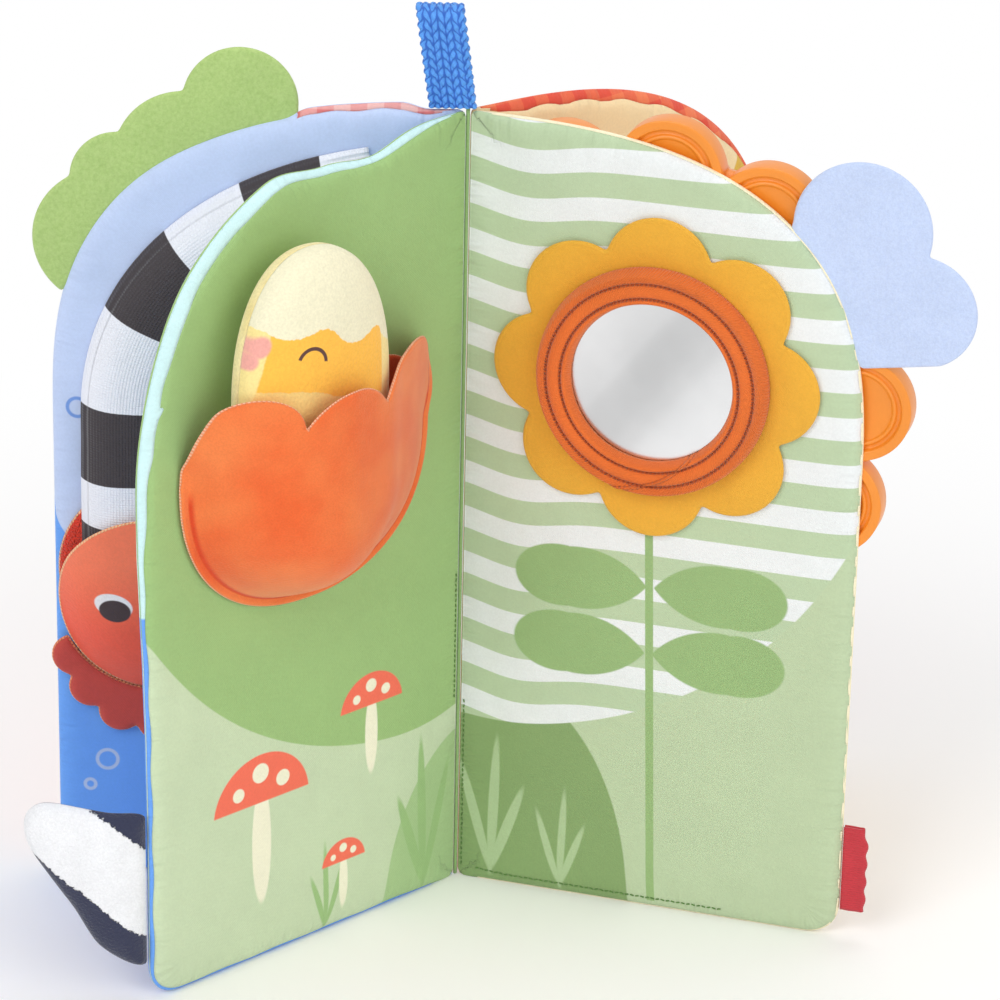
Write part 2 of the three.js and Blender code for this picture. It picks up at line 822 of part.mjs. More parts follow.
function addChick(leaf, tulipU) {
  const chick = new THREE.Group();
  const rest = leafLoft / 2 + 2 * seamGap + pocketBackThickness + chickDepth / 2;
  const middleV = tulipFoot + chickLift + chickFootHeight;
  chick.position.set(tulipU + chickSideOffset, rest, middleV);
  leaf.add(chick);
  const squared = (share) => Math.sign(share) * Math.abs(share) ** (2 / chickPower);
  const rim = Array.from({ length: chickPoints }, (_, i) => {
    const turn = (2 * Math.PI * i) / chickPoints;
    const up = Math.sin(turn);
    const height = up > 0 ? chickCrownHeight : chickFootHeight;
    return new THREE.Vector2((chickWidth / 2) * squared(Math.cos(turn)), height * squared(up));
  });
  const centre = new THREE.Vector2(0, 0);
  const make = { rim, centre, depth: chickDepth, cloth: plushThickness };
  addPiece(chick, 'chick_front', stuffedHalf({ ...make, side: 1 }), 0xf7c766, 1);
  addPiece(chick, 'chick_back', stuffedHalf({ ...make, side: -1 }), 0xf5eecb, 1);
  addPiece(chick, 'chick_filling', stuffing(make), 0xf6f6f4, 1);
}

// Right page: its reader's side faces -y, so what lies on that side is built upwards and turned over

function turnedOver(geometry) {
  const flipped = geometry.clone();
  flipped.applyMatrix4(new THREE.Matrix4().makeScale(1, -1, 1));
  const index = flipped.index ? Array.from(flipped.index.array) : null;
  const order = index ?? Array.from({ length: flipped.attributes.position.count }, (_, i) => i);
  for (let i = 0; i < order.length; i += 3) {
    [order[i + 1], order[i + 2]] = [order[i + 2], order[i + 1]];
  }
  flipped.setIndex(order);
  flipped.computeVertexNormals();
  return flipped;
}

// Round petals in a ring; neighbours meet at a valley on the ray half way between them.
function flowerOutline(centre) {
  const halfPitch = Math.PI / petalCount;
  const axisRadius = flowerRadius - petalRadius;
  const offset = axisRadius * Math.sin(halfPitch);
  const valley = axisRadius * Math.cos(halfPitch) + Math.sqrt(petalRadius ** 2 - offset ** 2);
  const swing = Math.atan2(valley * Math.sin(halfPitch), valley * Math.cos(halfPitch) - axisRadius);
  const points = [];
  for (let petal = 0; petal < petalCount; petal += 1) {
    const turn = 2 * halfPitch * petal;
    for (let i = 0; i < petalPoints; i += 1) {
      const angle = turn - swing + (2 * swing * i) / petalPoints;
      points.push(new THREE.Vector2(
        centre.x + axisRadius * Math.cos(turn) + petalRadius * Math.cos(angle),
        centre.y + axisRadius * Math.sin(turn) + petalRadius * Math.sin(angle),
      ));
    }
  }
  return points;
}

function addFlower(leaf) {
  const centre = new THREE.Vector2(flowerMargin + flowerRadius, flowerHeight);
  const base = (place) => leafHeight(place) + seamGap;
  const petals = pad({
    rim: flowerOutline(centre),
    centre,
    frontSteps: flowerSteps,
    backSteps: flowerSteps,
    front: (place) => base(place) + petalThickness,
    back: base,
  });
  addPiece(leaf, 'flower_petals', turnedOver(petals), 0xebb43c);

  const seat = leafLoft / 2 + 2 * seamGap + petalThickness;
  const discRadius = mirrorSightRadius + mirrorSeat;
  const mirror = disc(discRadius, mirrorThickness, centre.x, centre.y, mirrorPoints);
  mirror.translate(0, seat, 0);
  addPiece(leaf, 'mirror_disc', turnedOver(mirror), 0xc9cdd2, 0.05, 1);

  const rebate = discRadius + seamGap;
  const lip = mirrorThickness + seamGap;
  const outer = mirrorSightRadius + ringWidth;
  const profile = [
    new THREE.Vector2(rebate, 0),
    new THREE.Vector2(outer, 0),
  ];
  for (let i = 0; i <= ringSectionPoints; i += 1) {
    const turn = (Math.PI * i) / ringSectionPoints;
    profile.push(new THREE.Vector2(
      outer - (ringWidth / 2) * (1 - Math.cos(turn)),
      lip + (ringHeight - lip) * Math.sin(turn) ** ringPower,
    ));
  }
  profile.push(new THREE.Vector2(rebate, lip));
  profile.push(new THREE.Vector2(rebate, 0));
  const ring = new THREE.LatheGeometry(profile, ringPoints);
  ring.translate(centre.x, seat, centre.y);
  addPiece(leaf, 'mirror_ring', turnedOver(ring), 0xf07832);
}

// Moulded petals: each has a round-edged rim and a dish that rises again at its middle.
function addTeether(leaf) {
  const half = toothThickness / 2;
  const rimTop = toothRadius - toothRimWidth / 2;
  const dishEdge = toothRadius - toothRimWidth - toothDish;
  const upper = [
    [toothRadius, half - toothDish],
    [toothRadius - toothDish / 2, half - toothDish / 4],
    [rimTop, half],
    [dishEdge, half - toothDish],
    [0, half - toothDish / 2],
  ];
  const profile = [
    ...[...upper].reverse().map(([r, h]) => new THREE.Vector2(r, -h)),
    ...upper.map(([r, h]) => new THREE.Vector2(r, h)),
  ];
  const seat = leafLoft / 2 + seamGap;
  const pieces = [];
  for (let i = 0; i < toothCount; i += 1) {
    const turn = THREE.MathUtils.degToRad(firstToothAngle - toothPitch * i);
    const tooth = new THREE.LatheGeometry(profile, toothPoints);
    tooth.translate(
      teetherCentreU + teetherRadius * Math.cos(turn),
      seat + half,
      teetherCentreV + teetherRadius * Math.sin(turn),
    );
    pieces.push(tooth);
  }
  const firstTurn = THREE.MathUtils.degToRad(firstToothAngle);
  const lastTurn = THREE.MathUtils.degToRad(firstToothAngle - toothPitch * (toothCount - 1));
  const outerRadius = teetherRadius - toothRimWidth;
  const innerRadius = outerRadius - flangeWidth;
  const arc = (radius) => Array.from({ length: flangePoints + 1 }, (_, i) => {
    const turn = lastTurn + ((firstTurn - lastTurn) * i) / flangePoints;
    return new THREE.Vector2(
      teetherCentreU + radius * Math.cos(turn),
      teetherCentreV + radius * Math.sin(turn),
    );
  });
  const flange = plate([...arc(outerRadius), ...arc(innerRadius).reverse()], flangeThickness);
  flange.translate(0, seat, 0);
  addPiece(leaf, 'teether_petals', fromSolid(joined([flange, ...pieces])), 0xf58c28, 0.45);
}

function addSideTab(leaf) {
  const half = sideTabThickness / 2;
  const outline = [
    new THREE.Vector2(0, -half),
    ...Array.from({ length: foldPoints + 1 }, (_, i) => {
      const turn = -quarterTurn + (Math.PI * i) / foldPoints;
      const out = sideTabReach - half + half * Math.cos(turn);
      return new THREE.Vector2(out, half * Math.sin(turn));
    }),
    new THREE.Vector2(0, half),
  ];
  const shape = new THREE.Shape(outline);
  const tab = new THREE.ExtrudeGeometry(shape, { depth: sideTabHeight, bevelEnabled: false });
  tab.translate(leafWidth + seamGap, 0, sideTabFoot);
  addPiece(leaf, 'side_tab', tab, 0xd92b3a);
}

function addRightPage() {
  const leaf = addLeaf('right_page', rightPageTurn, 'cream', 0xfaf0c8, 'striped', 0xd5e2c2);
  addFlower(leaf);
  addPiece(leaf, 'cloud_tab', feltTab(cloudLobeShares, cloudReach), 0xd2def5);
  addTeether(leaf);
  addSideTab(leaf);
}

addSpine();
addLeftCover();
addLeftPage();
addRightPage();
addLeaf('right_cover', rightCoverTurn, 'gingham', 0xe8644c, 'cream', 0xfadcaf);

export default book;
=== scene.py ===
import math

import bmesh
import bpy
import numpy as np
from mathutils import Matrix, Vector
from mathutils.geometry import delaunay_2d_cdt


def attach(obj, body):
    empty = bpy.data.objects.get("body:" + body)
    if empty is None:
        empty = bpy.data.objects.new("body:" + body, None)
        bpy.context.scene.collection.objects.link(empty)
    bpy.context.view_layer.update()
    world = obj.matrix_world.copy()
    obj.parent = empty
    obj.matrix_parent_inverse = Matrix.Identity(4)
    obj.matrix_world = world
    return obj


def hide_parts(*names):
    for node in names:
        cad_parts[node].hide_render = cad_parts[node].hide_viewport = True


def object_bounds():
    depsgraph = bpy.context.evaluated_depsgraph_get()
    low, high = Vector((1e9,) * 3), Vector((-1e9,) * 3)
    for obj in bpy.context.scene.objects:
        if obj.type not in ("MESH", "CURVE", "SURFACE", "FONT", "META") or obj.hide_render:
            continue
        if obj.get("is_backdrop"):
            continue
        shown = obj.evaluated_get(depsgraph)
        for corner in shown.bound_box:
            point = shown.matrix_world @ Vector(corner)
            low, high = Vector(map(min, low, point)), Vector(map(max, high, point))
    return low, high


# A cloth book of four padded leaves. Lengths are millimetres until a mesh is made. A leaf is drawn in
# its own plane: u runs out from the spine, v runs up, and w is the height above the leaf's middle.

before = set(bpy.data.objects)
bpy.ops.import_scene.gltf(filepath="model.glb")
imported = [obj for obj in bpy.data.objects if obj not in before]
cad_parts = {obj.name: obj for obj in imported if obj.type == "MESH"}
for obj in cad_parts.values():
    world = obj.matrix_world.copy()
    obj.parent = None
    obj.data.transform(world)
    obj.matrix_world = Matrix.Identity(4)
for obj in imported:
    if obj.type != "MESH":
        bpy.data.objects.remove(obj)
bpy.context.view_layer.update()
bpy.ops.object.select_all(action="DESELECT")

HEIGHT, WIDTH, SHOULDER, ARCH = 230.0, 113.0, 140.0, 2.76
HINGE, FACE, GAP = 0.85, 3.5, 0.3
TURN = {"left_cover": 180.0, "left_page": 223.6, "right_page": -17.1, "right_cover": 39.4}
READER = {"left_cover": 1, "left_page": 1, "right_page": -1, "right_cover": -1}
TAU = 2 * math.pi


# Outlines

def run_of(points, spacing):
    """Evenly spaced points along an open run, without its last one."""
    points = np.asarray(points, float)
    along = np.concatenate([[0], np.cumsum(np.linalg.norm(np.diff(points, axis=0), axis=1))])
    steps = np.linspace(0, along[-1], max(1, round(along[-1] / spacing)), endpoint=False)
    return np.column_stack([np.interp(steps, along, points[:, i]) for i in range(points.shape[1])])


def outline(spacing, *runs):
    """A closed outline from runs that meet at their ends, with the corners between them kept."""
    return np.vstack([run_of(run, spacing) for run in runs])


def arch(turn, reach=WIDTH, rise=HEIGHT - SHOULDER, power=ARCH):
    cos, sin = np.clip(np.cos(turn), 0, 1), np.clip(np.sin(turn), 0, 1)
    return np.stack([reach * cos ** (2 / power), SHOULDER + rise * sin ** (2 / power)], -1)


def beside_arch(share, out):
    """A place a share of the way up the arch, and a distance out from its seam."""
    u, v = arch(share * math.pi / 2)
    rise = HEIGHT - SHOULDER
    normal = np.array([(u / WIDTH) ** (ARCH - 1) / WIDTH, ((v - SHOULDER) / rise) ** (ARCH - 1) / rise])
    return np.array([u, v]) + normal / np.linalg.norm(normal) * out


def through(start, peak, end, count=24):
    """Points of the circle through three places, the first and last included."""
    start, peak, end = (np.asarray(p, float) for p in (start, peak, end))
    a, b = peak - start, end - start
    cross = 2 * (a[0] * b[1] - a[1] * b[0])
    aa, bb = a @ a, b @ b
    centre = start + np.array([b[1] * aa - a[1] * bb, a[0] * bb - b[0] * aa]) / cross
    radius = np.linalg.norm(start - centre)
    first = math.atan2(*(start - centre)[::-1])
    last = math.atan2(*(end - centre)[::-1])
    way = 1 if cross > 0 else -1
    angles = first + way * np.linspace(0, (way * (last - first)) % TAU, count)
    return centre + radius * np.stack([np.cos(angles), np.sin(angles)], -1)


def circle(u, v, radius, count=96, first=0.0, sweep=TAU):
    angles = first + np.linspace(0, sweep, count + 1)
    return np.array([u, v]) + radius * np.stack([np.cos(angles), np.sin(angles)], -1)


def spline(points, count=12):
    """A smooth open curve through points."""
    points = np.asarray(points, float)
    ends = np.vstack([2 * points[0] - points[1], points, 2 * points[-1] - points[-2]])
    out = []
    for p0, p1, p2, p3 in zip(ends, ends[1:], ends[2:], ends[3:]):
        for t in np.linspace(0, 1, count, endpoint=False):
            out.append(0.5 * (2 * p1 + (p2 - p0) * t + (2 * p0 - 5 * p1 + 4 * p2 - p3) * t * t
                              + (3 * p1 - p0 - 3 * p2 + p3) * t ** 3))
    return np.array(out + [points[-1]])


def ways_along(line):
    """The line's direction at each of its points."""
    ways = np.gradient(line, axis=0)
    return ways / np.linalg.norm(ways, axis=1, keepdims=True)


def inside(points, rim):
    """Whether each point lies inside the outline."""
    u, v = points[:, 0:1], points[:, 1:2]
    a, b = rim, np.roll(rim, -1, 0)
    spans = (a[:, 1] > v) != (b[:, 1] > v)
    with np.errstate(divide="ignore", invalid="ignore"):
        cut = a[:, 0] + (v - a[:, 1]) * (b[:, 0] - a[:, 0]) / (b[:, 1] - a[:, 1])
    return (spans & (u < cut)).sum(1) % 2 == 1


def to_rim(points, rim):
    """How far each point is from the rim, and how far along the rim its nearest place is."""
    edge = np.roll(rim, -1, 0) - rim
    length = np.linalg.norm(edge, axis=1)
    start = np.concatenate([[0], np.cumsum(length)])[:-1]
    far, along = np.empty(len(points)), np.empty(len(points))
    for first in range(0, len(points), 4000):
        some = points[first:first + 4000, None]
        share = np.clip(((some - rim) * edge).sum(-1) / length ** 2, 0, 1)
        gap = np.linalg.norm(some - rim - share[..., None] * edge, axis=-1)
        best = gap.argmin(1)
        pick = np.arange(len(best))
        far[first:first + 4000] = gap[pick, best]
        along[first:first + 4000] = start[best] + share[pick, best] * length[best]
    return far, along, float(length.sum())


# Meshes

def leaf_to_row(points, turn):
    """(u, w, v) in a leaf's plane, in millimetres, to the row frame in metres."""
    a = math.radians(turn)
    u, w, v = np.asarray(points, float).T
    return np.stack([u * math.cos(a) - w * math.sin(a), u * math.sin(a) + w * math.cos(a), v], -1) / 1000


def row_to_leaf(points, turn):
    a = math.radians(turn)
    x, y, z = np.asarray(points, float).T * 1000
    return np.stack([x * math.cos(a) + y * math.sin(a), y * math.cos(a) - x * math.sin(a), z], -1)


def placed(name, data):
    """A new object in the scene."""
    thing = bpy.data.objects.new(name, data)
    bpy.context.scene.collection.objects.link(thing)
    return thing


def set_all(piece, field, value):
    """Sets a field of all the piece's faces."""
    piece.data.polygons.foreach_set(field, [value] * len(piece.data.polygons))


def new_piece(name, points, faces):
    mesh = bpy.data.meshes.new(name)
    mesh.from_pydata([tuple(p) for p in points], [], [tuple(f) for f in faces])
    mesh.update()
    piece = placed(name, mesh)
    set_all(piece, "use_smooth", True)
    return piece


def places_of(piece):
    places = np.empty(len(piece.data.vertices) * 3)
    piece.data.vertices.foreach_get("co", places)
    return places.reshape(-1, 3)


def put_places(piece, places):
    piece.data.vertices.foreach_set("co", np.asarray(places, float).ravel())
    piece.data.update()


def finish_with(piece, kind, **settings):
    """Adds a modifier and applies it."""
    modifier = piece.modifiers.new(kind.title(), kind)
    for key, value in settings.items():
        setattr(modifier, key, value)
    bpy.context.view_layer.objects.active = piece
    bpy.ops.object.modifier_apply(modifier=modifier.name)
    return piece


def subdivided(piece):
    return finish_with(piece, "SUBSURF", levels=1, render_levels=1)


def joined(name, pieces):
    bpy.ops.object.select_all(action="DESELECT")
    for piece in pieces:
        piece.select_set(True)
    bpy.context.view_layer.objects.active = pieces[0]
    bpy.ops.object.join()
    bpy.ops.object.select_all(action="DESELECT")
    pieces[0].name = name
    return pieces[0]


def net_of(rim, spacing, rows):
    """A net over an outline: rows that follow its rim, then a square lattice."""
    way = np.roll(rim, -1, 0) - np.roll(rim, 1, 0)
    inward = np.stack([-way[:, 1], way[:, 0]], -1) / np.linalg.norm(way, axis=1, keepdims=True)
    sets = [rim]
    for row in rows:
        row = np.broadcast_to(row, len(rim))
        places = rim + inward * row[:, None]
        sets.append(places[inside(places, rim) & (to_rim(places, rim)[0] > 0.94 * row)])
    low, high = rim.min(0), rim.max(0)
    axes = [np.arange(low[i] + 0.37 * spacing, high[i], spacing) for i in (0, 1)]
    grid = np.stack(np.meshgrid(*axes), -1).reshape(-1, 2)
    grid = grid[inside(grid, rim)]
    sets.append(grid[to_rim(grid, rim)[0] > np.max(rows[-1]) + 0.62 * spacing])
    flat = np.vstack(sets)
    edges = [(i, (i + 1) % len(rim)) for i in range(len(rim))]
    points, _, faces, *_ = delaunay_2d_cdt([Vector(p) for p in flat], edges, [], 1, 1e-6)
    points = np.array([tuple(p) for p in points])
    turned = []
    for a, b, c in faces:
        ab, ac = points[b] - points[a], points[c] - points[a]
        turned.append((a, b, c) if ab[0] * ac[1] > ab[1] * ac[0] else (a, c, b))
    return points, turned


def edited(piece, change):
    """Runs a change on the piece's mesh in bmesh form."""
    mesh = bmesh.new()
    mesh.from_mesh(piece.data)
    change(mesh)
    mesh.to_mesh(piece.data)
    mesh.free()
    return piece


def pad(name, rim, top, bottom, turn, spacing=2.5, rows=(0.6, 1.6, 3.2), seam=None):
    """A closed pad over an outline. top and bottom give w from (u, v) and the distance to the rim.

    The lower faces get material 1. seam, a side and a function of (u, v), moves that border in on that
    side's face, or on the other one where it is under 0.
    """
    flat, faces = net_of(rim, spacing, rows)
    far = to_rim(flat, rim)[0]
    u, v = flat.T
    over = np.stack([u, top(u, v, far), v], -1)
    under = np.stack([u, bottom(u, v, far), v], -1)
    count = len(flat)
    border = {}
    for a, b, c in faces:
        for edge in ((a, b), (b, c), (c, a)):
            if (edge[1], edge[0]) in border:
                del border[(edge[1], edge[0])]
            else:
                border[edge] = True
    ids = np.array(faces)
    body = [(a, c, b) for a, b, c in faces] + [(a + count, b + count, c + count) for a, b, c in faces]
    kinds = np.repeat([0, 1], len(faces))
    if seam:
        side, inset = seam
        centre = flat[ids].mean(1)
        gap, here = to_rim(centre, rim)[0], inset(*centre.T)
        kinds = np.concatenate([gap < here, gap >= -here] if side > 0 else [gap < -here, gap >= here])
    edge_points = {i for edge in border for i in edge}
    closed = all(abs(over[i, 1] - under[i, 1]) < 1e-6 for i in edge_points)
    if not closed:
        body += [(b + count, a + count, a, b) for a, b in border]
        kinds = np.concatenate([kinds, np.zeros(len(border))])
    piece = new_piece(name, leaf_to_row(np.vstack([over, under]), turn), body)
    piece.data.polygons.foreach_set("material_index", kinds.astype(int))
    if closed:
        edited(piece, lambda mesh: bmesh.ops.remove_doubles(mesh, verts=mesh.verts, dist=1e-7))
    return edited(piece, lambda mesh: bmesh.ops.join_triangles(
        mesh, faces=mesh.faces, angle_face_threshold=0.6, angle_shape_threshold=0.6, cmp_materials=True))


def rounded(far, thickness, radius=None):
    """Half the thickness of a sheet whose edge is rounded off."""
    radius = radius or thickness / 2
    return thickness / 2 * np.sqrt(np.clip(1 - (1 - np.clip(far / radius, 0, 1)) ** 2, 0, 1))


def cut_cloth(thickness, radius=None):
    """The half height of a pad that is one layer of cloth."""
    return lambda u, v, far: rounded(far, thickness, radius)


def stuffed(depth, reach, power=2.2):
    """The half height of a stuffed pad."""
    return lambda u, v, far: depth / 2 * (1 - (1 - np.clip(far / reach, 0, 1)) ** power) ** (1 / power)


def both_faces(middle, half):
    """A pad's upper and lower face, half above and below its middle: a height, or one from (u, v)."""
    def face(way):
        return lambda u, v, far: (middle(u, v) if callable(middle) else middle) + way * half(u, v, far)
    return face(1), face(-1)


def seam_map(piece, rim, turn):
    """A UV map in millimetres: x runs along the rim and y is the distance in from it."""
    local = row_to_leaf(places_of(piece), turn)
    far, along, total = to_rim(local[:, [0, 2]], rim)
    layer = piece.data.uv_layers.new(name="Seam")
    for face in piece.data.polygons:
        around = [along[i] for i in face.vertices]
        for loop, i, x in zip(face.loop_indices, face.vertices, around):
            x += total if max(around) - x > total / 2 else 0
            layer.data[loop].uv = (x, far[i])
    return piece


def sewn(name, rim, both, turn, spacing, rows=(0.4, 0.9, 2.2)):
    """A smooth pad with a map of its edge, from its upper and lower face."""
    return seam_map(subdivided(pad(name, rim, *both, turn, spacing, rows)), rim, turn)


def map_by(piece, place):
    """A UV map in millimetres that gives each vertex the place for its number."""
    layer = piece.data.uv_layers.new(name="Seam")
    for face in piece.data.polygons:
        for loop, i in zip(face.loop_indices, face.vertices):
            layer.data[loop].uv = place(i)


def half_of(piece, name, kind, thickness):
    """One sewn half of a closed pad, as cloth of that thickness."""
    data = piece.data.copy()
    data.name = name
    half = placed(name, data)
    edited(half, lambda mesh: bmesh.ops.delete(
        mesh, geom=[f for f in mesh.faces if f.material_index != kind], context="FACES"))
    set_all(half, "material_index", 0)
    return finish_with(half, "SOLIDIFY", thickness=thickness / 1000, offset=-1.0)


PUFF_FRAMES = 20


def puffed(piece, held, grown=None, pressure=1.0, most=1.0, growth=0.05):
    """Blows a pad up as cloth. held is how firmly each point stays, grown how much its cloth gets fuller.

    most is how far each point may move at most, in millimetres.
    """
    before = places_of(piece)
    for title, weights in (("held", held), ("grown", grown)):
        if weights is not None:
            group = piece.vertex_groups.new(name=title)
            for i, weight in enumerate(weights):
                group.add([i], float(weight), "REPLACE")
    cloth = piece.modifiers.new("Cloth", "CLOTH")
    settings = cloth.settings
    settings.quality, settings.mass = 5, 0.3
    settings.vertex_group_mass = "held"
    settings.use_pressure, settings.uniform_pressure_force = True, pressure
    settings.effector_weights.gravity = 0
    settings.bending_stiffness = 0.3
    if grown is not None:
        settings.vertex_group_shrink = "grown"
        settings.shrink_min, settings.shrink_max = 0.0, -growth
    cloth.point_cache.frame_start, cloth.point_cache.frame_end = 1, PUFF_FRAMES
    for number in range(1, PUFF_FRAMES + 1):
        bpy.context.scene.frame_set(number)
    after = piece.evaluated_get(bpy.context.evaluated_depsgraph_get()).data
    places = np.empty(len(after.vertices) * 3)
    after.vertices.foreach_get("co", places)
    piece.modifiers.remove(cloth)
    bpy.context.scene.frame_set(1)
    piece.vertex_groups.clear()
    move = places.reshape(-1, 3) - before
    length = np.linalg.norm(move, axis=1, keepdims=True) * 1000
    limit = np.reshape(most, (-1, 1))
    share = np.where(length > 1e-9, limit * np.tanh(length / limit) / np.maximum(length, 1e-9), 0)
    put_places(piece, before + move * share)
    return piece


def swept(name, centres, across, up, section, closed_path=False):
    """A section, (across, up) points, or one for each place, swept along a path. Millimetres, row frame."""
    rows = len(centres)
    sections = section if np.ndim(section) == 3 else [section] * rows
    count = len(sections[0])
    points = [c + a * s[0] + n * s[1] for c, a, n, part in zip(centres, across, up, sections) for s in part]
    faces = []
    for r in range(rows if closed_path else rows - 1):
        for i in range(count):
            p, q = r * count + i, r * count + (i + 1) % count
            far = ((r + 1) % rows) * count
            faces.append((p, q, far + (i + 1) % count, far + i))
    if not closed_path:
        faces += [tuple(range(count))[::-1], tuple((rows - 1) * count + i for i in range(count))]
    piece = new_piece(name, np.array(points) / 1000, faces)
    return edited(piece, lambda mesh: bmesh.ops.recalc_face_normals(mesh, faces=mesh.faces))


# Materials

def rgb(red, green, blue):
    """A colour as it looks on screen, as the renderer's own numbers."""
    return tuple(((c / 255 + 0.055) / 1.055) ** 2.4 if c > 10 else c / 255 / 12.92 for c in (red, green, blue))


class Finish:
    """A node material, with short ways to add nodes."""

    def __init__(self, name, roughness=0.85, sheen=0.15, sheen_tint=(1, 1, 1), **sockets):
        self.material = bpy.data.materials.new(name)
        self.material.use_nodes = True
        self.tree = self.material.node_tree
        self.shader = self.tree.nodes["Principled BSDF"]
        self.set("Roughness", roughness)
        if sheen:
            self.set("Sheen Weight", sheen)
            self.set("Sheen Roughness", 0.4)
            self.set("Sheen Tint", (*sheen_tint, 1))
        for key, value in sockets.items():
            self.set(key.replace("_", " "), value)
        self.bumps = []

    def feed(self, socket, value):
        """Gives an input another node's output, or a value."""
        if isinstance(value, bpy.types.NodeSocket):
            self.tree.links.new(value, socket)
        elif socket.type == "RGBA" and len(value) == 3:
            socket.default_value = (*value, 1)
        else:
            socket.default_value = value

    def set(self, socket, value):
        self.feed(self.shader.inputs[socket], value)

    def node(self, kind, *values, out=0, **settings):
        node = self.tree.nodes.new("ShaderNode" + kind)
        for key, value in settings.items():
            setattr(node, key, value)
        for socket, value in zip(node.inputs, values):
            if value is not None:
                self.feed(socket, value)
        return node.outputs[out]

    def calc(self, operation, *values):
        return self.node("Math", *values, operation=operation)

    def times(self, first, second):
        return self.calc("MULTIPLY", first, second)

    def plus(self, first, second):
        return self.calc("ADD", first, second)

    def minus(self, first, second):
        return self.calc("SUBTRACT", first, second)

    def wave(self, value, pitch):
        return self.calc("SINE", self.times(value, TAU / pitch))

    def off(self, value, middle):
        """How far value is from middle."""
        return self.calc("ABSOLUTE", self.minus(value, middle))

    def vector(self, operation, *values, out=0):
        return self.node("VectorMath", *values, operation=operation, out=out)

    def parts(self, vector):
        return self.node("SeparateXYZ", vector).node.outputs

    def step(self, value, low, high, to_low=0.0, to_high=1.0):
        """Goes from to_low to to_high as value goes from low to high."""
        return self.node("MapRange", value, low, high, to_low, to_high, interpolation_type="SMOOTHSTEP")

    def band(self, value, low, high, soft):
        """1 where value lies between low and high."""
        return self.times(self.step(value, low - soft, low + soft), self.step(value, high + soft, high - soft))

    def mix(self, share, first, second, blend="MIX"):
        node = self.tree.nodes.new("ShaderNodeMix")
        node.data_type, node.blend_type = "RGBA", blend
        for number, value in ((0, share), (6, first), (7, second)):
            self.feed(node.inputs[number], value)
        return node.outputs[2]

    def curve(self, value, points):
        """A smooth line through points (value, height)."""
        xs, ys = zip(*points)
        low, high, bottom, top = min(xs), max(xs), min(ys), max(ys)
        node = self.tree.nodes.new("ShaderNodeFloatCurve")
        line = node.mapping.curves[0]
        spots = [((x - low) / (high - low), (y - bottom) / (top - bottom)) for x, y in points]
        line.points[0].location, line.points[1].location = spots[0], spots[-1]
        for spot in spots[1:-1]:
            line.points.new(*spot)
        node.mapping.update()
        self.tree.links.new(self.node("MapRange", value, low, high, 0.0, 1.0), node.inputs["Value"])
        return self.node("MapRange", node.outputs[0], 0.0, 1.0, bottom, top)

    def at(self):
        """The place on the object, in metres."""
        return self.node("TexCoord", out=3)

    def on_leaf(self, turn):
        """(u, v, 0) on a leaf, in millimetres."""
        a = math.radians(turn)
        u = self.vector("DOT_PRODUCT", self.at(), (1000 * math.cos(a), 1000 * math.sin(a), 0), out=1)
        v = self.vector("DOT_PRODUCT", self.at(), (0, 0, 1000), out=1)
        return self.node("CombineXYZ", u, v)

    def seam(self):
        """x along the seam and y in from it, in millimetres."""
        return self.parts(self.node("UVMap", uv_map="Seam"))[:2]

    def noise(self, size, detail=3.0, where=None, rough=0.6):
        """Noise from 0 to 1 whose lumps are about size millimetres."""
        return self.node("TexNoise", where or self.at(), None, (1 if where else 1000) / size, detail, rough)

    def blob(self, where, u, v, ru, rv, turn=0.0, soft=0.25):
        """1 inside an ellipse on the leaf and 0 outside."""
        local = self.node("Mapping", where, (u, v, 0), (0, 0, math.radians(turn)), (ru, rv, 1),
                          vector_type="TEXTURE")
        return self.step(self.vector("LENGTH", local, out=1), 1 + soft / min(ru, rv), 1 - soft / min(ru, rv))

    def bump(self, height, millimetres):
        self.bumps.append((height, millimetres))

    def tint(self, colour, amount=0.04, size=14.0, fleck=0.05, fleck_size=0.8):
        """Sets the colour, a little lighter and darker in soft patches, with fine thread noise."""
        patch = self.step(self.noise(size), 0.3, 0.7, 1 - amount, 1 + amount / 2)
        grain = self.step(self.noise(fleck_size, 1.0), 0.25, 0.75, 1 - fleck, 1 + fleck / 2)
        level = self.times(patch, grain)
        self.set("Base Color", self.mix(1.0, colour, self.node("CombineColor", level, level, level), "MULTIPLY"))
        return self

    def weave(self, where, pitch=0.45, depth=0.05):
        """Fine plain weave: two crossed sets of threads."""
        waves = [self.wave(axis, pitch) for axis in self.parts(where)[:2]]
        self.bump(self.times(waves[0], waves[1]), depth)
        return self

    def puckers(self, depth=0.7, reach=11.0, pitch=4.2):
        """Short creases that run in from a sewn edge and die away."""
        x, y = self.seam()
        place = self.node("CombineXYZ", self.calc("DIVIDE", x, pitch), self.calc("DIVIDE", y, 5 * pitch))
        lines = self.noise(1.0, 2.0, place)
        fade = self.step(y, reach, 0.6)
        self.bump(self.times(lines, fade), depth * 2)
        return self

    def whipped(self, colour, thread, width, pitch, slant=0.6, depth=0.3):
        """Close slanting stitches over the edge. Gives the colour with the thread on it."""
        x, y = self.seam()
        wave = self.wave(self.plus(x, self.times(y, slant)), pitch)
        row = self.step(y, width + 0.1, width - 0.1)
        stitch = self.times(row, self.step(wave, -0.9, 0.3, 0.35, 1.0))
        self.bump(stitch, depth)
        return self.mix(stitch, colour, thread)

    def done(self):
        """The material, with its bumps one on top of the other."""
        target = self.shader.inputs["Normal"]
        for height, millimetres in reversed(self.bumps):
            node = self.tree.nodes.new("ShaderNodeBump")
            self.feed(node.inputs["Distance"], millimetres / 1000)
            self.feed(node.inputs["Height"], height)
            self.tree.links.new(node.outputs[0], target)
            target = node.inputs["Normal"]
        return self.material


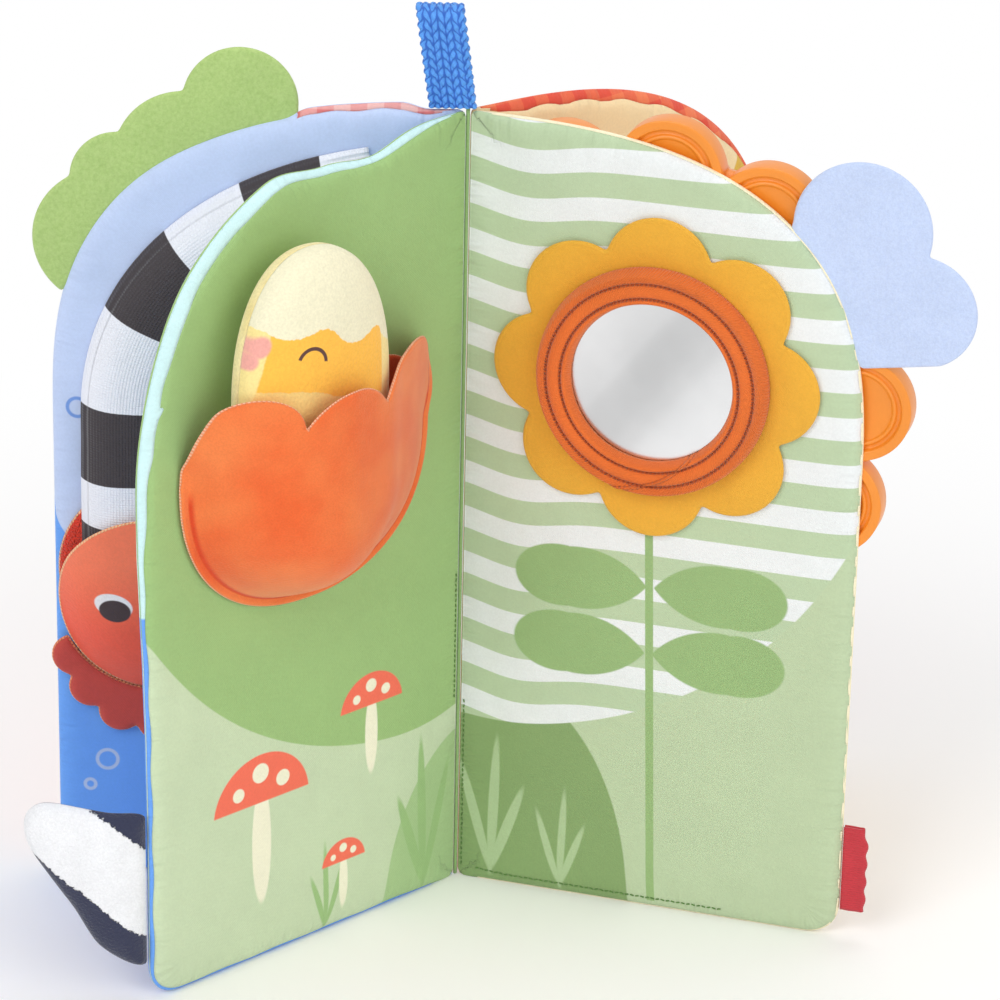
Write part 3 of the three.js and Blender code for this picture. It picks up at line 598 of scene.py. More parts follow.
def plain_cloth(name, colour, turn=0.0, **looks):
    finish = Finish(name, **looks).tint(colour)
    return finish.weave(finish.on_leaf(turn)).done()


def pile_cloth(name, colour, dark, size, depth, tint, sheen=0.6, patch=14.0):
    """Velour, plush or minky: short pile that leans in soft patches."""
    finish = Finish(name, 0.95, sheen, tint)
    lean = finish.step(finish.noise(patch, 2.0), 0.35, 0.65)
    finish.tint(finish.mix(lean, dark, colour), 0.03, 5, 0.09, size)
    finish.bump(finish.noise(size, 3.0), depth)
    return finish


def dress(piece, material, body, slot, *nodes, fill=None):
    """Gives a piece its material and body, and hides the model's parts named in nodes; slot and fill are not
    used.
    """
    piece.data.materials.clear()
    piece.data.materials.append(material)
    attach(piece, body)
    if nodes:
        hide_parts(*nodes)
    return piece


# Leaves

corner = 9.0
high = math.acos((HINGE / WIDTH) ** (ARCH / 2))
leaf_runs = [
    [(HINGE, 0), (WIDTH - corner, 0)],
    circle(WIDTH - corner, corner, corner, 12, -math.pi / 2, math.pi / 2),
    [(WIDTH, corner), (WIDTH, SHOULDER)],
    arch(np.linspace(0, high, 200)),
    [arch(high), (HINGE, 0)],
]
leaf_rim = outline(3.0, *leaf_runs)
fine_rim = outline(1.0, *leaf_runs)


def swell(share):
    return 1 - (1 - np.clip(share, 0, 1)) ** 2


def smooth(share):
    share = np.clip(share, 0, 1)
    return share * share * (3 - 2 * share)


def leaf_face(u, v, far=None):
    """Half the leaf's thickness."""
    u, v = np.asarray(u, float), np.asarray(v, float)
    far = to_rim(np.stack([u, v], -1).reshape(-1, 2), fine_rim)[0].reshape(u.shape) if far is None else far
    edge = FACE * (1 - (1 - np.clip(far / 12, 0, 1)) ** 2.2) ** (1 / 2.2)
    spine = 0.6 * np.clip(u / 3.5, 0, 1) + 2.9 * swell((u - 3.5) / 26)
    return np.minimum(edge, spine)


def shaped(body, points):
    """Where a leaf's cloth leaves the plain arch: it sags, or is cut a little fuller."""
    u, _, v = points.T
    if body == "left_page":
        sag = 4.2 * np.exp(-((u - 35) / np.where(u < 35, 11, 13)) ** 2) * np.clip((v - 190) / 38, 0, 1) ** 1.5
        rise = 5.2 * smooth((u - 52) / 20) * smooth((v - 165) / 35)
        out = 3.0 * np.exp(-((v - 155) / np.where(v < 155, 55, 38)) ** 2) * np.clip(u / WIDTH, 0, 1) ** 3
        return points + np.stack([out, 0 * u, rise - sag], -1)
    if body == "left_cover":
        rise = 2.0 * smooth((u - 10) / 8) * smooth((50 - u) / 8) * smooth((v - 205) / 22)
        return points + np.stack([0 * u, 0 * u, rise], -1)
    return points


def out_of_spine(u):
    return smooth((u - 4) / 6)


def round_spine(u):
    """At the spine the reader's cloth goes round to the other side."""
    return -1.5 * smooth((3.2 - u) / 2)


def left_page_seam(u, v):
    shoulder = 0.8 + 2.8 * smooth((v - 115) / 60)
    top = 1.7 * smooth((95 - u) / 50) * smooth((v - 190) / 25)
    return round_spine(u) + smooth((u - 3) / 18) * (shoulder - top + 0.25 * np.sin((u + v) / 3.3))


def left_cover_seam(u, v):
    top = (2.5 + 0.4 * np.sin(u / 2.1)) * smooth((v - 205) / 18) * smooth((50 - u) / 9)
    return out_of_spine(u) * (-0.9 + top)


def right_page_seam(u, v):
    waves = 0.25 * np.clip((u - 100) / 10, 0, 1) * np.sin(v * TAU / 7.5)
    return round_spine(u) + out_of_spine(u) * (0.4 + waves)


def right_cover_seam(u, v):
    return out_of_spine(u) * (0.8 + (2.0 + 0.5 * np.sin(u / 2.3)) * np.clip((v - 190) / 20, 0, 1))


# How far in from the outline the seam shows on the reader's side, or under 0 on the other side.
SEAM_IN = {"left_cover": left_cover_seam, "left_page": left_page_seam, "right_page": right_page_seam,
           "right_cover": right_cover_seam}
CORE_IN = 7  # how far in from the outline the wadding and the film end
# What is sewn on a leaf: side, u, v, reach. The cloth stays where it is under these.
UNDER = {
    "left_cover": [(1, 84, 90, 42), (1, 92, 150, 26), (1, 78, 185, 24), (1, 55, 200, 20)],
    "left_page": [(1, 61, 145, 56)],
    "right_page": [(-1, 55.5, 161.5, 52), (1, 62, 158, 62), (1, 100, 158, 60)],
    "right_cover": [],
}


def make_leaf(body, front, back, front_slot, back_slot, front_finish, back_finish):
    turn, side, inset = TURN[body], READER[body], SEAM_IN[body]
    along = np.maximum(np.abs(inset(*leaf_rim.T)), 0.35)
    whole = pad(body + "_pillow", leaf_rim, leaf_face, lambda *a: -leaf_face(*a), turn, 3.2,
                (along * 0.45, along, along + 0.8, along + 2.1, along + 4.4), (side, inset))
    local = row_to_leaf(places_of(whole), turn)
    far = to_rim(local[:, [0, 2]], fine_rim)[0]
    still = np.full(len(local), 1.0)
    for face, u, v, reach in UNDER[body]:
        near = np.clip(1.25 - np.hypot(local[:, 0] - u, local[:, 2] - v) / reach, 0, 1) * 4
        still = np.where(local[:, 1] * face > 0, np.minimum(still, 1 - np.clip(near, 0, 0.85)), still)
    move = np.clip((far - 0.8) / 3, 0, 1) * np.clip((local[:, 0] - 2) / 8, 0, 1)
    puffed(whole, 1 - move, np.clip((22 - far) / 14, 0, 1), 0.4, 0.02 + 1.1 * still * move, 0.09)
    local = row_to_leaf(places_of(whole), turn)
    rim_far = to_rim(local[:, [0, 2]], fine_rim)[0]
    here = inset(local[:, 0], local[:, 2])
    lean = side * np.sign(here)
    on_seam = np.abs(rim_far - np.maximum(np.abs(here), 0.35)) < 0.16
    groove = on_seam & (local[:, 1] * lean > 0) & (local[:, 0] > 6)
    local[:, 1] -= np.where(groove, np.minimum(0.75, 0.5 * np.abs(local[:, 1])) * lean, 0)
    put_places(whole, leaf_to_row(local, turn))
    subdivided(whole)
    seam_map(whole, fine_rim, turn)
    put_places(whole, leaf_to_row(shaped(body, row_to_leaf(places_of(whole), turn)), turn))
    for kind, name, slot, finish in ((0, front, front_slot, front_finish),
                                     (1, back, back_slot, back_finish)):
        panel = half_of(whole, f"{body}_{name}_cloth", kind, 0.4)
        dress(panel, finish, body, slot, f"{body}_{name}_panel", fill=0.35)
    bpy.data.objects.remove(whole)
    core = outline(6.0, *leaf_runs)
    inward = core.mean(0) - core
    core = core + inward / np.linalg.norm(inward, axis=1, keepdims=True) * CORE_IN
    core[:, 0] = np.maximum(core[:, 0], CORE_IN)
    room = lambda u, v, far: np.maximum(leaf_face(u, v) - 1.2, 0.1)
    batting = pad(body + "_wadding", core, room, lambda u, v, far: -0.6 * room(u, v, far), turn, 6.0, (2.0,))
    film = pad(body + "_film", core, lambda u, v, far: -0.87 * room(u, v, far),
               lambda u, v, far: -room(u, v, far), turn, 6.0, (2.0,))
    for piece in (batting, film):
        put_places(piece, leaf_to_row(shaped(body, row_to_leaf(places_of(piece), turn)), turn))
    dress(batting, wadding, body, "batting", body + "_batting", fill=0.5)
    dress(film, crackle, body, "crinkle_film", body + "_crinkle_film")


finish = Finish("white polyester wadding", 1.0, 0.2).tint(rgb(244, 244, 240))
finish.bump(finish.noise(2.0, 4.0), 0.8)
wadding = finish.done()
finish = Finish("thin crinkle film", 0.25, 0).tint(rgb(223, 230, 234))
finish.bump(finish.node("TexVoronoi", finish.at(), None, 90.0), 1.0)
crackle = finish.done()

LIGHT_GREEN, DARK_GREEN, BLADE_GREEN = rgb(204, 221, 183), rgb(160, 195, 125), rgb(160, 196, 130)
LEAF_GREEN = rgb(152, 184, 122)
CREAM, CORAL = rgb(249, 246, 218), rgb(250, 115, 88)


def printed(name, q_turn, paint, plain=False):
    """Smooth printed polyester. paint gives the colour from the finish, the place, u and v."""
    finish = Finish(name, 0.8, 0.12)
    q = finish.on_leaf(q_turn)
    u, v = finish.parts(q)[:2]
    finish.tint(paint(finish, q, u, v), 0.025, 22, 0.03, 0.7).weave(q, 0.5, 0.04)
    finish.bump(finish.noise(26, 2.0), 1.3)
    return finish if plain else finish.puckers().done()


def toadstools(finish, q, v, colour, patches):
    """Domed caps with round dots on short stalks."""
    for u0, v0, half in patches:
        colour = finish.mix(finish.blob(q, u0, v0 - half * 0.75, half * 0.2, half * 1.05), colour, CREAM)
        dome = finish.blob(q, u0, v0 - half * 0.1, half, half * 0.95)
        cap = finish.times(dome, finish.step(v, v0 - 0.3, v0 + 0.2))
        colour = finish.mix(cap, colour, CORAL)
        for du, dv, size in ((-0.45, 0.3, 0.14), (0.02, 0.52, 0.17), (0.48, 0.26, 0.12)):
            dot = finish.blob(q, u0 + du * half, v0 + dv * half, size * half, size * half)
            colour = finish.mix(dot, colour, CREAM)
    return colour


def blades(finish, q, colour, shade, tufts):
    """Pointed blades of grass, three to a tuft."""
    for u0, v0, tall in tufts:
        for lean, share in ((-17, 0.8), (2, 1.0), (19, 0.7)):
            reach = tall * share
            place = (u0 + math.sin(math.radians(lean)) * reach, v0 + math.cos(math.radians(lean)) * reach)
            colour = finish.mix(finish.blob(q, *place, tall * 0.075, reach, -lean), colour, shade)
    return colour


def garden(finish, q, u, v):
    ground = finish.mix(finish.blob(q, -4, 0, 34, 47), LIGHT_GREEN, rgb(172, 203, 144))
    colour = finish.mix(finish.blob(q, 18, 165, 112, 112), ground, DARK_GREEN)
    colour = blades(finish, q, colour, BLADE_GREEN, [(15, 3, 23), (52, 2, 13)])
    return toadstools(finish, q, v, colour, [(76, 49, 17), (36, 66, 11.5), (46, 21, 8)])


STRIPE = 13.62


def stripes(finish, q, u, v):
    """Level stripes that dip at one place, over a green foot, and a stem with four leaves."""
    beside = finish.calc("POWER", finish.calc("DIVIDE", finish.off(u, 18.0), 14.0), 2.0)
    dip = finish.times(finish.calc("EXPONENT", finish.times(beside, -1.0)), 2.9)
    wave = finish.calc("PINGPONG", finish.minus(finish.plus(v, dip), 126.1 - 20 * STRIPE), STRIPE / 2)
    lines = finish.mix(finish.step(wave, 3.15, 3.45), rgb(236, 240, 240), rgb(188, 208, 170))
    ground = finish.mix(finish.blob(q, 12, 0, 40, 66), rgb(190, 208, 169), rgb(136, 165, 106))
    ground = blades(finish, q, ground, rgb(176, 200, 152), [(11, 4, 21), (32, 3, 15)])
    colour = finish.mix(finish.blob(q, 6, 168, 116.5, 116.5), ground, lines)
    stem = finish.times(finish.band(finish.plus(u, finish.times(v, 0.034)), 57.9, 60.2, 0.15),
                        finish.band(v, 2.6, 120, 0.2))
    colour = finish.mix(stem, colour, LEAF_GREEN)
    for v0 in (99.6, 79.6):
        for way in (-1, 1):
            u0 = 56 + way * 20
            lens = finish.times(*(finish.blob(q, u0, v0 + off, 24.2, 24.2, soft=0.3) for off in (-15, 15)))
            tip = finish.blob(q, u0 + way * 6, v0, 13, 9.2, soft=0.3)
            colour = finish.mix(finish.calc("MAXIMUM", lens, tip), colour, LEAF_GREEN)
    return colour


def sky_and_sea(sky, sea, line):
    """Sky above a shore line, sea below."""
    def paint(finish, q, u, v):
        level = finish.minus(v, finish.curve(u, line))
        return finish.mix(finish.step(level, -0.4, 0.4), sea, sky)
    return paint


SKY, SEA = rgb(200, 216, 250), rgb(108, 168, 250)


def cover_sea(finish, q, u, v):
    """Sky and sea with round bubbles, drawn as rings."""
    line = [(0, 88), (40, 96), (80, 94), (100, 98), (109, 104), (113, 116)]
    colour = sky_and_sea(SKY, SEA, line)(finish, q, u, v)
    for u0, v0, size in ((106, 143, 3.2), (103, 137, 1.8), (99, 36, 3.4), (104, 28, 2.0), (60, 40, 4.0),
                         (50, 70, 3.0)):
        shade, ground = (rgb(120, 160, 232), SKY) if v0 > 100 else (rgb(185, 205, 240), SEA)
        colour = finish.mix(finish.blob(q, u0, v0, size, size), colour, shade)
        colour = finish.mix(finish.blob(q, u0, v0, size - 1, size - 1), colour, ground)
    return colour


def gingham(first, second, pitch):
    def paint(finish, q, u, v):
        bands = [finish.step(finish.wave(axis, pitch), -0.1, 0.1) for axis in (u, v)]
        return finish.mix(finish.times(finish.plus(*bands), 0.5), first, second)
    return paint


def cream_meadow(finish, q, u, v):
    """Warm cream with ochre hills."""
    colour = finish.mix(finish.blob(q, 118, 150, 34, 62), rgb(251, 228, 180), rgb(228, 186, 72))
    return finish.mix(finish.blob(q, 20, -20, 120, 90), colour, rgb(228, 186, 72))


make_leaf("left_cover", "sea", "gingham", "sea_cloth", "gingham_cloth",
          printed("printed sea cloth", 180, cover_sea),
          printed("printed pink gingham", 180, gingham(rgb(243, 190, 186), rgb(225, 122, 122), 9)))
make_leaf("left_page", "garden", "sea", "garden_cloth", "sea_cloth",
          printed("printed garden cloth", TURN["left_page"], garden),
          printed("printed shallows cloth", TURN["left_page"], sky_and_sea(
              rgb(208, 242, 243), SEA, [(0, 108), (30, 112), (60, 106), (90, 112), (113, 114)])))
make_leaf("right_page", "cream", "striped", "cream_cloth", "striped_cloth",
          printed("pale cream cloth", TURN["right_page"], lambda f, q, u, v: rgb(251, 241, 206)),
          printed("printed striped cloth", TURN["right_page"], stripes))
make_leaf("right_cover", "gingham", "cream", "gingham_cloth", "cream_cloth",
          printed("printed red gingham", TURN["right_cover"], gingham(rgb(243, 128, 84), rgb(228, 82, 60), 9)),
          printed("printed cream cloth", TURN["right_cover"], cream_meadow))


def to_row(turn, u, w, v):
    """A direction or a place on a leaf, in millimetres in the row frame."""
    return leaf_to_row([(u, w, v)], turn)[0] * 1000


def laid(piece, turn, u, w, v, side=-1):
    """Lays a piece that was made on the floor against a leaf's face, its top outwards."""
    out, along, up = (Vector(to_row(turn, *d)) for d in ((0, side, 0), (-side, 0, 0), (0, 0, 1)))
    bpy.context.view_layer.update()
    piece.data.transform(piece.matrix_world)
    turned = Matrix((along, up, out)).transposed().to_4x4()
    piece.data.transform(Matrix.Translation(Vector(to_row(turn, u, w, v)) / 1000) @ turned)
    piece.matrix_world = Matrix.Identity(4)
    return piece


def stitches(name, places, ways, length, radius, material, body, slot):
    """A row of thread stitches, in millimetres in the row frame."""
    bpy.ops.mesh.primitive_cylinder_add(vertices=6, radius=radius / 1000, depth=length / 1000)
    one = bpy.context.object
    bpy.ops.object.mode_set(mode="EDIT")
    bpy.ops.mesh.select_all(action="SELECT")
    bpy.ops.mesh.bevel(offset=radius * 0.8 / 1000, segments=1, affect="EDGES")
    bpy.ops.object.mode_set(mode="OBJECT")
    copies = []
    for place, way in zip(places, ways):
        copy = placed(name, one.data.copy())
        turned = Vector(way).to_track_quat("Z", "X").to_matrix().to_4x4()
        copy.data.transform(Matrix.Translation(Vector(place) / 1000) @ turned)
        copies.append(copy)
    bpy.data.objects.remove(one)
    row = joined(name, copies)
    set_all(row, "use_smooth", True)
    return dress(row, material, body, slot)


# Spine and loop

SPINE_ROWS = 60
path = np.array([[0, 0, z] for z in np.linspace(0.2, HEIGHT + 1.6, SPINE_ROWS)])
tape = [(0.55 * math.cos(t), 0.55 * math.sin(t)) for t in np.linspace(0, TAU, 12, endpoint=False)]
roll = swept("spine_tape", path, *(np.tile(way, (SPINE_ROWS, 1)) for way in ([1.0, 0, 0], [0, 1.0, 0])), tape)
dress(roll, plain_cloth("green seam cloth", rgb(150, 188, 118)), "spine", "spine_cloth", "spine_seam", fill=0.8)

green_thread = plain_cloth("green thread", rgb(112, 160, 78))
for body, low, high_end in (("left_page", 57, 95), ("right_page", 4, 56)):
    turn, side = TURN[body], READER[body]
    heights = np.arange(low, high_end, 1.55)
    places = [to_row(turn, 1.9, side * float(leaf_face(1.9, v) + 0.1), v) for v in heights]
    ways = [to_row(turn, 0.2 * (-1) ** i, 0, 1) for i in range(len(heights))]
    stitches(body + "_spine_stitches", places, ways, 1.1, 0.22, green_thread, body, "spine_cloth")
FOOT_SEAM = 3.6
across = np.arange(7.0, 80, 1.5)
places = [to_row(TURN["right_page"], u, -float(leaf_face(u, FOOT_SEAM)) - 0.06, FOOT_SEAM) for u in across]
ways = [to_row(TURN["right_page"], 1, 0, 0.25 * (-1) ** i) for i in range(len(across))]
stitches("right_page_foot_stitches", places, ways, 1.2, 0.22, green_thread, "right_page", "striped_cloth")

LOOP_HALF, LOOP_BEND, LOOP_LEAN = 3.7, 24.5, math.tan(math.radians(8))
LOOP_STEP, STITCH, COLUMN, WEB_HALF = 0.3, 2.6, 1.86, 6.2
WEB_POINTS = 36
leg = []
for t in np.linspace(0, 1, 70):
    first, second, third = (1 - t) ** 2, 2 * (1 - t) * t, t * t
    leg.append((first * 0.9 + second * LOOP_HALF + third * LOOP_HALF,
                first * 0.4 + second * (0.4 + (LOOP_BEND - 0.4) / 3) + third * LOOP_BEND))
top = [(LOOP_HALF * math.cos(t), LOOP_BEND + LOOP_HALF * math.sin(t)) for t in np.linspace(0, math.pi, 40)[1:]]
middle = run_of(np.array(leg + top + [(-x, z) for x, z in leg[::-1][1:]]), LOOP_STEP)
centres = np.array([[-4 - LOOP_LEAN * z, y, 230.3 + z] for y, z in middle])
ups = np.array([[0, w[1], -w[0]] for w in ways_along(middle)])
sections = []
for r in range(len(middle)):
    along = r * LOOP_STEP
    section = []
    for face in (1, -1):
        for x in np.linspace(-WEB_HALF, WEB_HALF, WEB_POINTS)[::face]:
            column = (x + 6.5) / COLUMN
            slope = abs(column % 2 - 1) * COLUMN * 1.15
            yarn = abs(math.sin(math.pi * (along + slope) / STITCH)) ** 0.7
            valley = abs(math.sin(math.pi * column)) ** 0.35
            edge = math.sqrt(max(0, 1 - (abs(x) / 6.45) ** 14))
            wide = x * (1 + 0.045 * math.cos(TAU * along / STITCH))
            section.append((wide, face * (0.3 + 0.75 * yarn * valley) * edge))
    sections.append(section)
webbing = swept("webbing_loop", centres, np.tile([1.0, 0, 0], (len(centres), 1)), ups, sections)
count = 2 * WEB_POINTS
map_by(webbing, lambda i: (i // count * LOOP_STEP,
                           -WEB_HALF + 2 * WEB_HALF / (WEB_POINTS - 1) * min(i % count, count - 1 - i % count)))
finish = Finish("blue webbing", 0.6, 0.25, (0.7, 0.85, 1))
x, y = finish.seam()
column = finish.calc("DIVIDE", finish.plus(y, 6.5), COLUMN)
slope = finish.times(finish.calc("PINGPONG", column, 1.0), COLUMN * 1.15)
yarn = finish.calc("ABSOLUTE", finish.wave(finish.plus(x, slope), 2 * STITCH))
ridge_painted_light = finish.times(yarn, finish.calc("ABSOLUTE", finish.wave(column, 2)))
# Painted light and shade: the blue is lighter on the yarn's ridges and darker in the valleys between them.
finish.tint(finish.mix(finish.step(ridge_painted_light, 0.05, 0.6), rgb(36, 98, 192), rgb(84, 156, 238)), 0.05, 6, 0.08, 0.4)
finish.bump(finish.noise(0.35, 2.0), 0.12)
dress(webbing, finish.done(), "spine", "webbing", "hanging_loop")

# Felt tabs: places on a lobe are a share of the arch and a share of the tab's reach

CLOUD_LOBES = [((0.143, 0), (0.141, 0.32), (0.14, 0.63)), ((0.14, 0.63), (0.208, 1), (0.302, 0.785)),
               ((0.302, 0.785), (0.458, 0.85), (0.472, 0))]
BUSH_LOBES = [((0.18, 0), (0.291, 0.65), (0.395, 0.59)), ((0.395, 0.59), (0.452, 0.74), (0.516, 0.586)),
              ((0.516, 0.586), (0.578, 0.74), (0.649, 0.67)), ((0.649, 0.67), (0.753, 1), (0.815, 0))]


def felt_tab(name, lobes, reach, body, colour, dark, slot, node):
    """A felt tab whose foot is tucked 0.8 mm in under the leaf's seam."""
    runs = [through(*(beside_arch(s, GAP + reach * o) for s, o in lobe)) for lobe in lobes]
    first, last = lobes[0][0][0], lobes[-1][2][0]
    runs.append([beside_arch(s, -0.8) for s in np.linspace(last, first, 40)])
    rim = outline(1.4, *runs)
    bow = lambda u, v: 0.35 * np.sin(u / 9.0) * np.sin(v / 11.0)
    tab = subdivided(pad(name, rim, *both_faces(bow, cut_cloth(1.6)), TURN[body], 2.6, (0.35, 0.8, 2.0)))
    finish = Finish(name + "_wool", 1.0, 0.4)
    fibre = finish.noise(1.1, 4.0, rough=0.7)
    finish.tint(finish.mix(finish.step(fibre, 0.2, 0.7), dark, colour), 0.03, 12, 0.05, 0.5)
    finish.bump(fibre, 0.22)
    finish.bump(finish.noise(7, 2.0), 0.3)
    dress(tab, finish.done(), body, slot, node)


felt_tab("bush_felt", BUSH_LOBES, 21.5, "left_cover", rgb(182, 207, 131), rgb(163, 193, 112),
         "green_felt", "bush_tab")
felt_tab("cloud_felt", CLOUD_LOBES, 34.4, "right_page", rgb(198, 213, 243), rgb(188, 204, 238),
         "blue_felt", "cloud_tab")

# Tulip pocket. A petal is a circle through three places, shares of the half width and of the height.

TULIP_U, TULIP_V, TULIP_W, TULIP_H, MOUTH = 61.0, 106.0, 88.0, 71.5, 0.586
TULIP_MOUTH = TULIP_V + MOUTH * TULIP_H
PETALS = [((-1, .586), (-.43, 1), (-.136, .88)), ((-.136, .88), (.21, .986), (.522, .876)),
          ((.522, .876), (.76, .995), (.916, .906)), ((.916, .906), (.975, .752), (1, .586))]
BACK_PETALS = [((-.94, .56), (-.66, .91), (-.3, .78)), ((-.3, .78), (.1, .84), (.94, .56))]
LEFT_PAGE = TURN["left_page"]


def petalled(foot, share, petals):
    """The runs of a tulip's outline: its bowl, then its petals from right to left."""
    place = lambda p: (TULIP_U + TULIP_W / 2 * share * p[0], foot + TULIP_H * share * p[1])
    (across0, up0), up1 = petals[0][0], petals[-1][2][1]
    bowl = []
    for t in np.linspace(0, math.pi, 60):
        c = math.cos(t)
        level = up0 + (up1 - up0) * (1 - c) / 2
        bowl.append(place((across0 * math.copysign(abs(c) ** 0.9, c), level * (1 - math.sin(t) ** 0.9))))
    return [bowl] + [through(place(end), place(peak), place(start)) for start, peak, end in reversed(petals)]


TULIP_SEWN = petalled(TULIP_V, 1, PETALS)
tulip_rim = outline(1.6, *TULIP_SEWN)
sewn_edge = outline(1.0, TULIP_SEWN[0])
FLANGE = 2.6


def from_sewn(u, v):
    """How far a place is from the tulip's sewn edge."""
    points = np.stack([u, v], -1).reshape(-1, 1, 2)
    return np.linalg.norm(points - sewn_edge[None], axis=-1).min(1).reshape(np.shape(u))


def tulip_inside(u, v):
    """The pocket's inner face: flat where it is sewn, then a slope up to the bag that holds the chick."""
    across, down = np.abs(u - TULIP_U) / (TULIP_W / 2), np.maximum(TULIP_MOUTH - v, 0) / (MOUTH * TULIP_H)
    spread = np.minimum((across ** (2 / 0.9) + down ** (2 / 0.9)) ** 0.45, 1)
    bag = 0.02 + 28.8 * (1 - spread ** 4) * np.clip((u - 17) / 53, 0, 1) ** 0.42
    beside = np.hypot(TULIP_W / 2 * (1 - across), 0.35 * (v - TULIP_MOUTH))
    past_flange = np.clip(np.where(v > TULIP_MOUTH, beside, from_sewn(u, v)) - FLANGE, 0.02, None)
    slope = (2.4 - 1.5 * smooth((72 - u) / 28)) * past_flange
    return leaf_face(u, v) + GAP + (bag ** -4 + slope ** -4) ** -0.25


def tulip_cloth(side):
    """The velour's outer (1) or inner (-1) face."""
    def face(u, v, far):
        groove = 0.5 * np.exp(-((from_sewn(u, v) - FLANGE) / 0.7) ** 2)
        return tulip_inside(u, v) + 0.9 + side * (rounded(far, 1.8, 1.1) - groove * (side > 0))
    return face


def tulip_velour(name, colour, dark):
    """Velour in soft light and dark patches, with a painted shade line in the groove along the flange and a
    whipped edge.
    """
    finish = Finish(name, 0.95, 0.5, (1, 0.75, 0.6))
    x, y = finish.seam()
    u, v = finish.parts(finish.on_leaf(LEFT_PAGE))[:2]
    lean = finish.times(finish.step(finish.noise(30, 2.0), 0.3, 0.7), 0.7)
    lean = finish.plus(lean, finish.times(finish.noise(3.5, 3.0), 0.25))
    # Painted shade: a darker line in the groove along the lower part of the flange.
    flange_groove_shade = finish.times(finish.band(y, 2.3, 3.1, 0.3),
                       finish.step(finish.plus(v, finish.times(u, 0.22)), 172, 166))
    colour = finish.mix(flange_groove_shade, finish.mix(lean, dark, colour), rgb(214, 70, 26))
    finish.tint(finish.whipped(colour, rgb(252, 190, 155), 0.25, 0.9), 0.02, 5, 0.06, 0.5)
    finish.bump(finish.noise(0.5, 3.0), 0.22)
    return finish.done()


BACKING = both_faces(lambda u, v: leaf_face(u, v) + GAP + 0.75, cut_cloth(1.5))
front = sewn("tulip_front_velour", tulip_rim, (tulip_cloth(1), tulip_cloth(-1)), LEFT_PAGE, 2.2,
             (0.4, 0.9, 1.9, FLANGE, 3.4))
back_rim = outline(2.0, *petalled(TULIP_V + 2.1, 0.94, BACK_PETALS))
back = sewn("tulip_back_velour", back_rim, BACKING, LEFT_PAGE, 3.0)
dress(front, tulip_velour("orange velour", rgb(243, 136, 72), rgb(231, 94, 38)), "left_page", "orange_velour",
      "tulip_pocket_front", fill=0.5)
# The back panel is the same orange velour, painted darker as shade for its place inside the pocket behind the
# front petals.
dress(back, tulip_velour("orange velour in painted shade", rgb(228, 88, 40), rgb(212, 76, 32)), "left_page", "orange_velour",
      "tulip_pocket_back", fill=0.3)

# Chick

CHICK_U, CHICK_V, CHICK_REST = 70.2, 172.0, 16.6
egg = []
for t in np.linspace(0, TAU, 91):
    c, s = (math.copysign(abs(x) ** (2 / 2.2), x) for x in (math.cos(t), math.sin(t)))
    egg.append((CHICK_U + 25.2 * c, CHICK_V + (40.5 if s > 0 else 50) * s))
chick_rim = outline(2.2, egg)
whole = pad("chick_whole", chick_rim, *both_faces(CHICK_REST, stuffed(22, 25)), LEFT_PAGE, 2.6, (0.7, 1.7, 3.6))
local = row_to_leaf(places_of(whole), LEFT_PAGE)
far = to_rim(local[:, [0, 2]], chick_rim)[0]
puffed(whole, np.clip(1 - far / 1.5, 0, 1), np.clip(1.6 - far / 8, 0, 1), 1.5,
       0.05 + 0.9 * np.clip(far / 4, 0, 1) * np.clip((local[:, 2] - 150) / 25, 0.15, 1), 0.06)
local = row_to_leaf(places_of(whole), LEFT_PAGE)
tuck = to_rim(local[:, [0, 2]], chick_rim)[0] < 0.3
local[:, 0] += np.where(tuck, (CHICK_U - local[:, 0]) * 0.025, 0)
local[:, 2] += np.where(tuck, (CHICK_V - local[:, 2]) * 0.015, 0)
put_places(whole, leaf_to_row(local, LEFT_PAGE))
subdivided(whole)


def chick_face(finish):
    """A cream cap over a yellow face with one closed eye, paler at the sides and at the belly."""
    q = finish.vector("SUBTRACT", finish.on_leaf(LEFT_PAGE), (CHICK_U, CHICK_V, 0))
    u, v = finish.parts(q)[:2]
    v = finish.plus(v, finish.step(finish.noise(1.4, 2.0), 0.2, 0.8, -0.25, 0.25))
    cap_line = finish.curve(u, [
        (-26, 9), (-21, 11), (-17.6, 13.8), (-15.2, 16.8), (-11.3, 16.0), (-7.9, 15.0), (-3.8, 15.5),
        (-0.6, 17.6), (2, 20.2), (5, 21.1), (8.5, 20.4), (12.2, 19.8), (16.8, 20.4), (20, 22.5), (26, 25)])
    belly_line = finish.curve(u, [(-26, -3), (0, 1.6), (6, 3.9), (15, 5.8), (26, 6.8)])
    cap = finish.step(finish.minus(v, cap_line), -0.2, 0.2)
    belly = finish.step(finish.minus(v, belly_line), 0.2, -0.2)
    leaning = finish.plus(u, finish.times(v, 0.28))
    side = finish.calc("MAXIMUM", finish.step(leaning, 24.5, 25.0), finish.step(u, -17.0, -17.5))
    colour = finish.mix(belly, rgb(255, 192, 74), rgb(250, 214, 132))
    colour = finish.mix(side, colour, rgb(248, 226, 150))
    colour = finish.mix(cap, colour, rgb(240, 234, 202))
    for u0, v0, ru, rv, lean in ((21.0, 18.3, 1.8, 3.0, 25), (23.8, 14.2, 1.7, 2.6, 30)):
        colour = finish.mix(finish.blob(q, u0, v0, ru, rv, lean, 0.4), colour, rgb(240, 170, 158))
    ring = finish.vector("LENGTH", finish.vector("SUBTRACT", q, (8.4, 12.4, 0)), out=1)
    above = finish.step(finish.plus(v, finish.times(u, -0.22)), 11.2, 11.6)
    return finish.mix(finish.times(finish.band(ring, 3.6, 4.6, 0.12), above), colour, rgb(92, 62, 58))


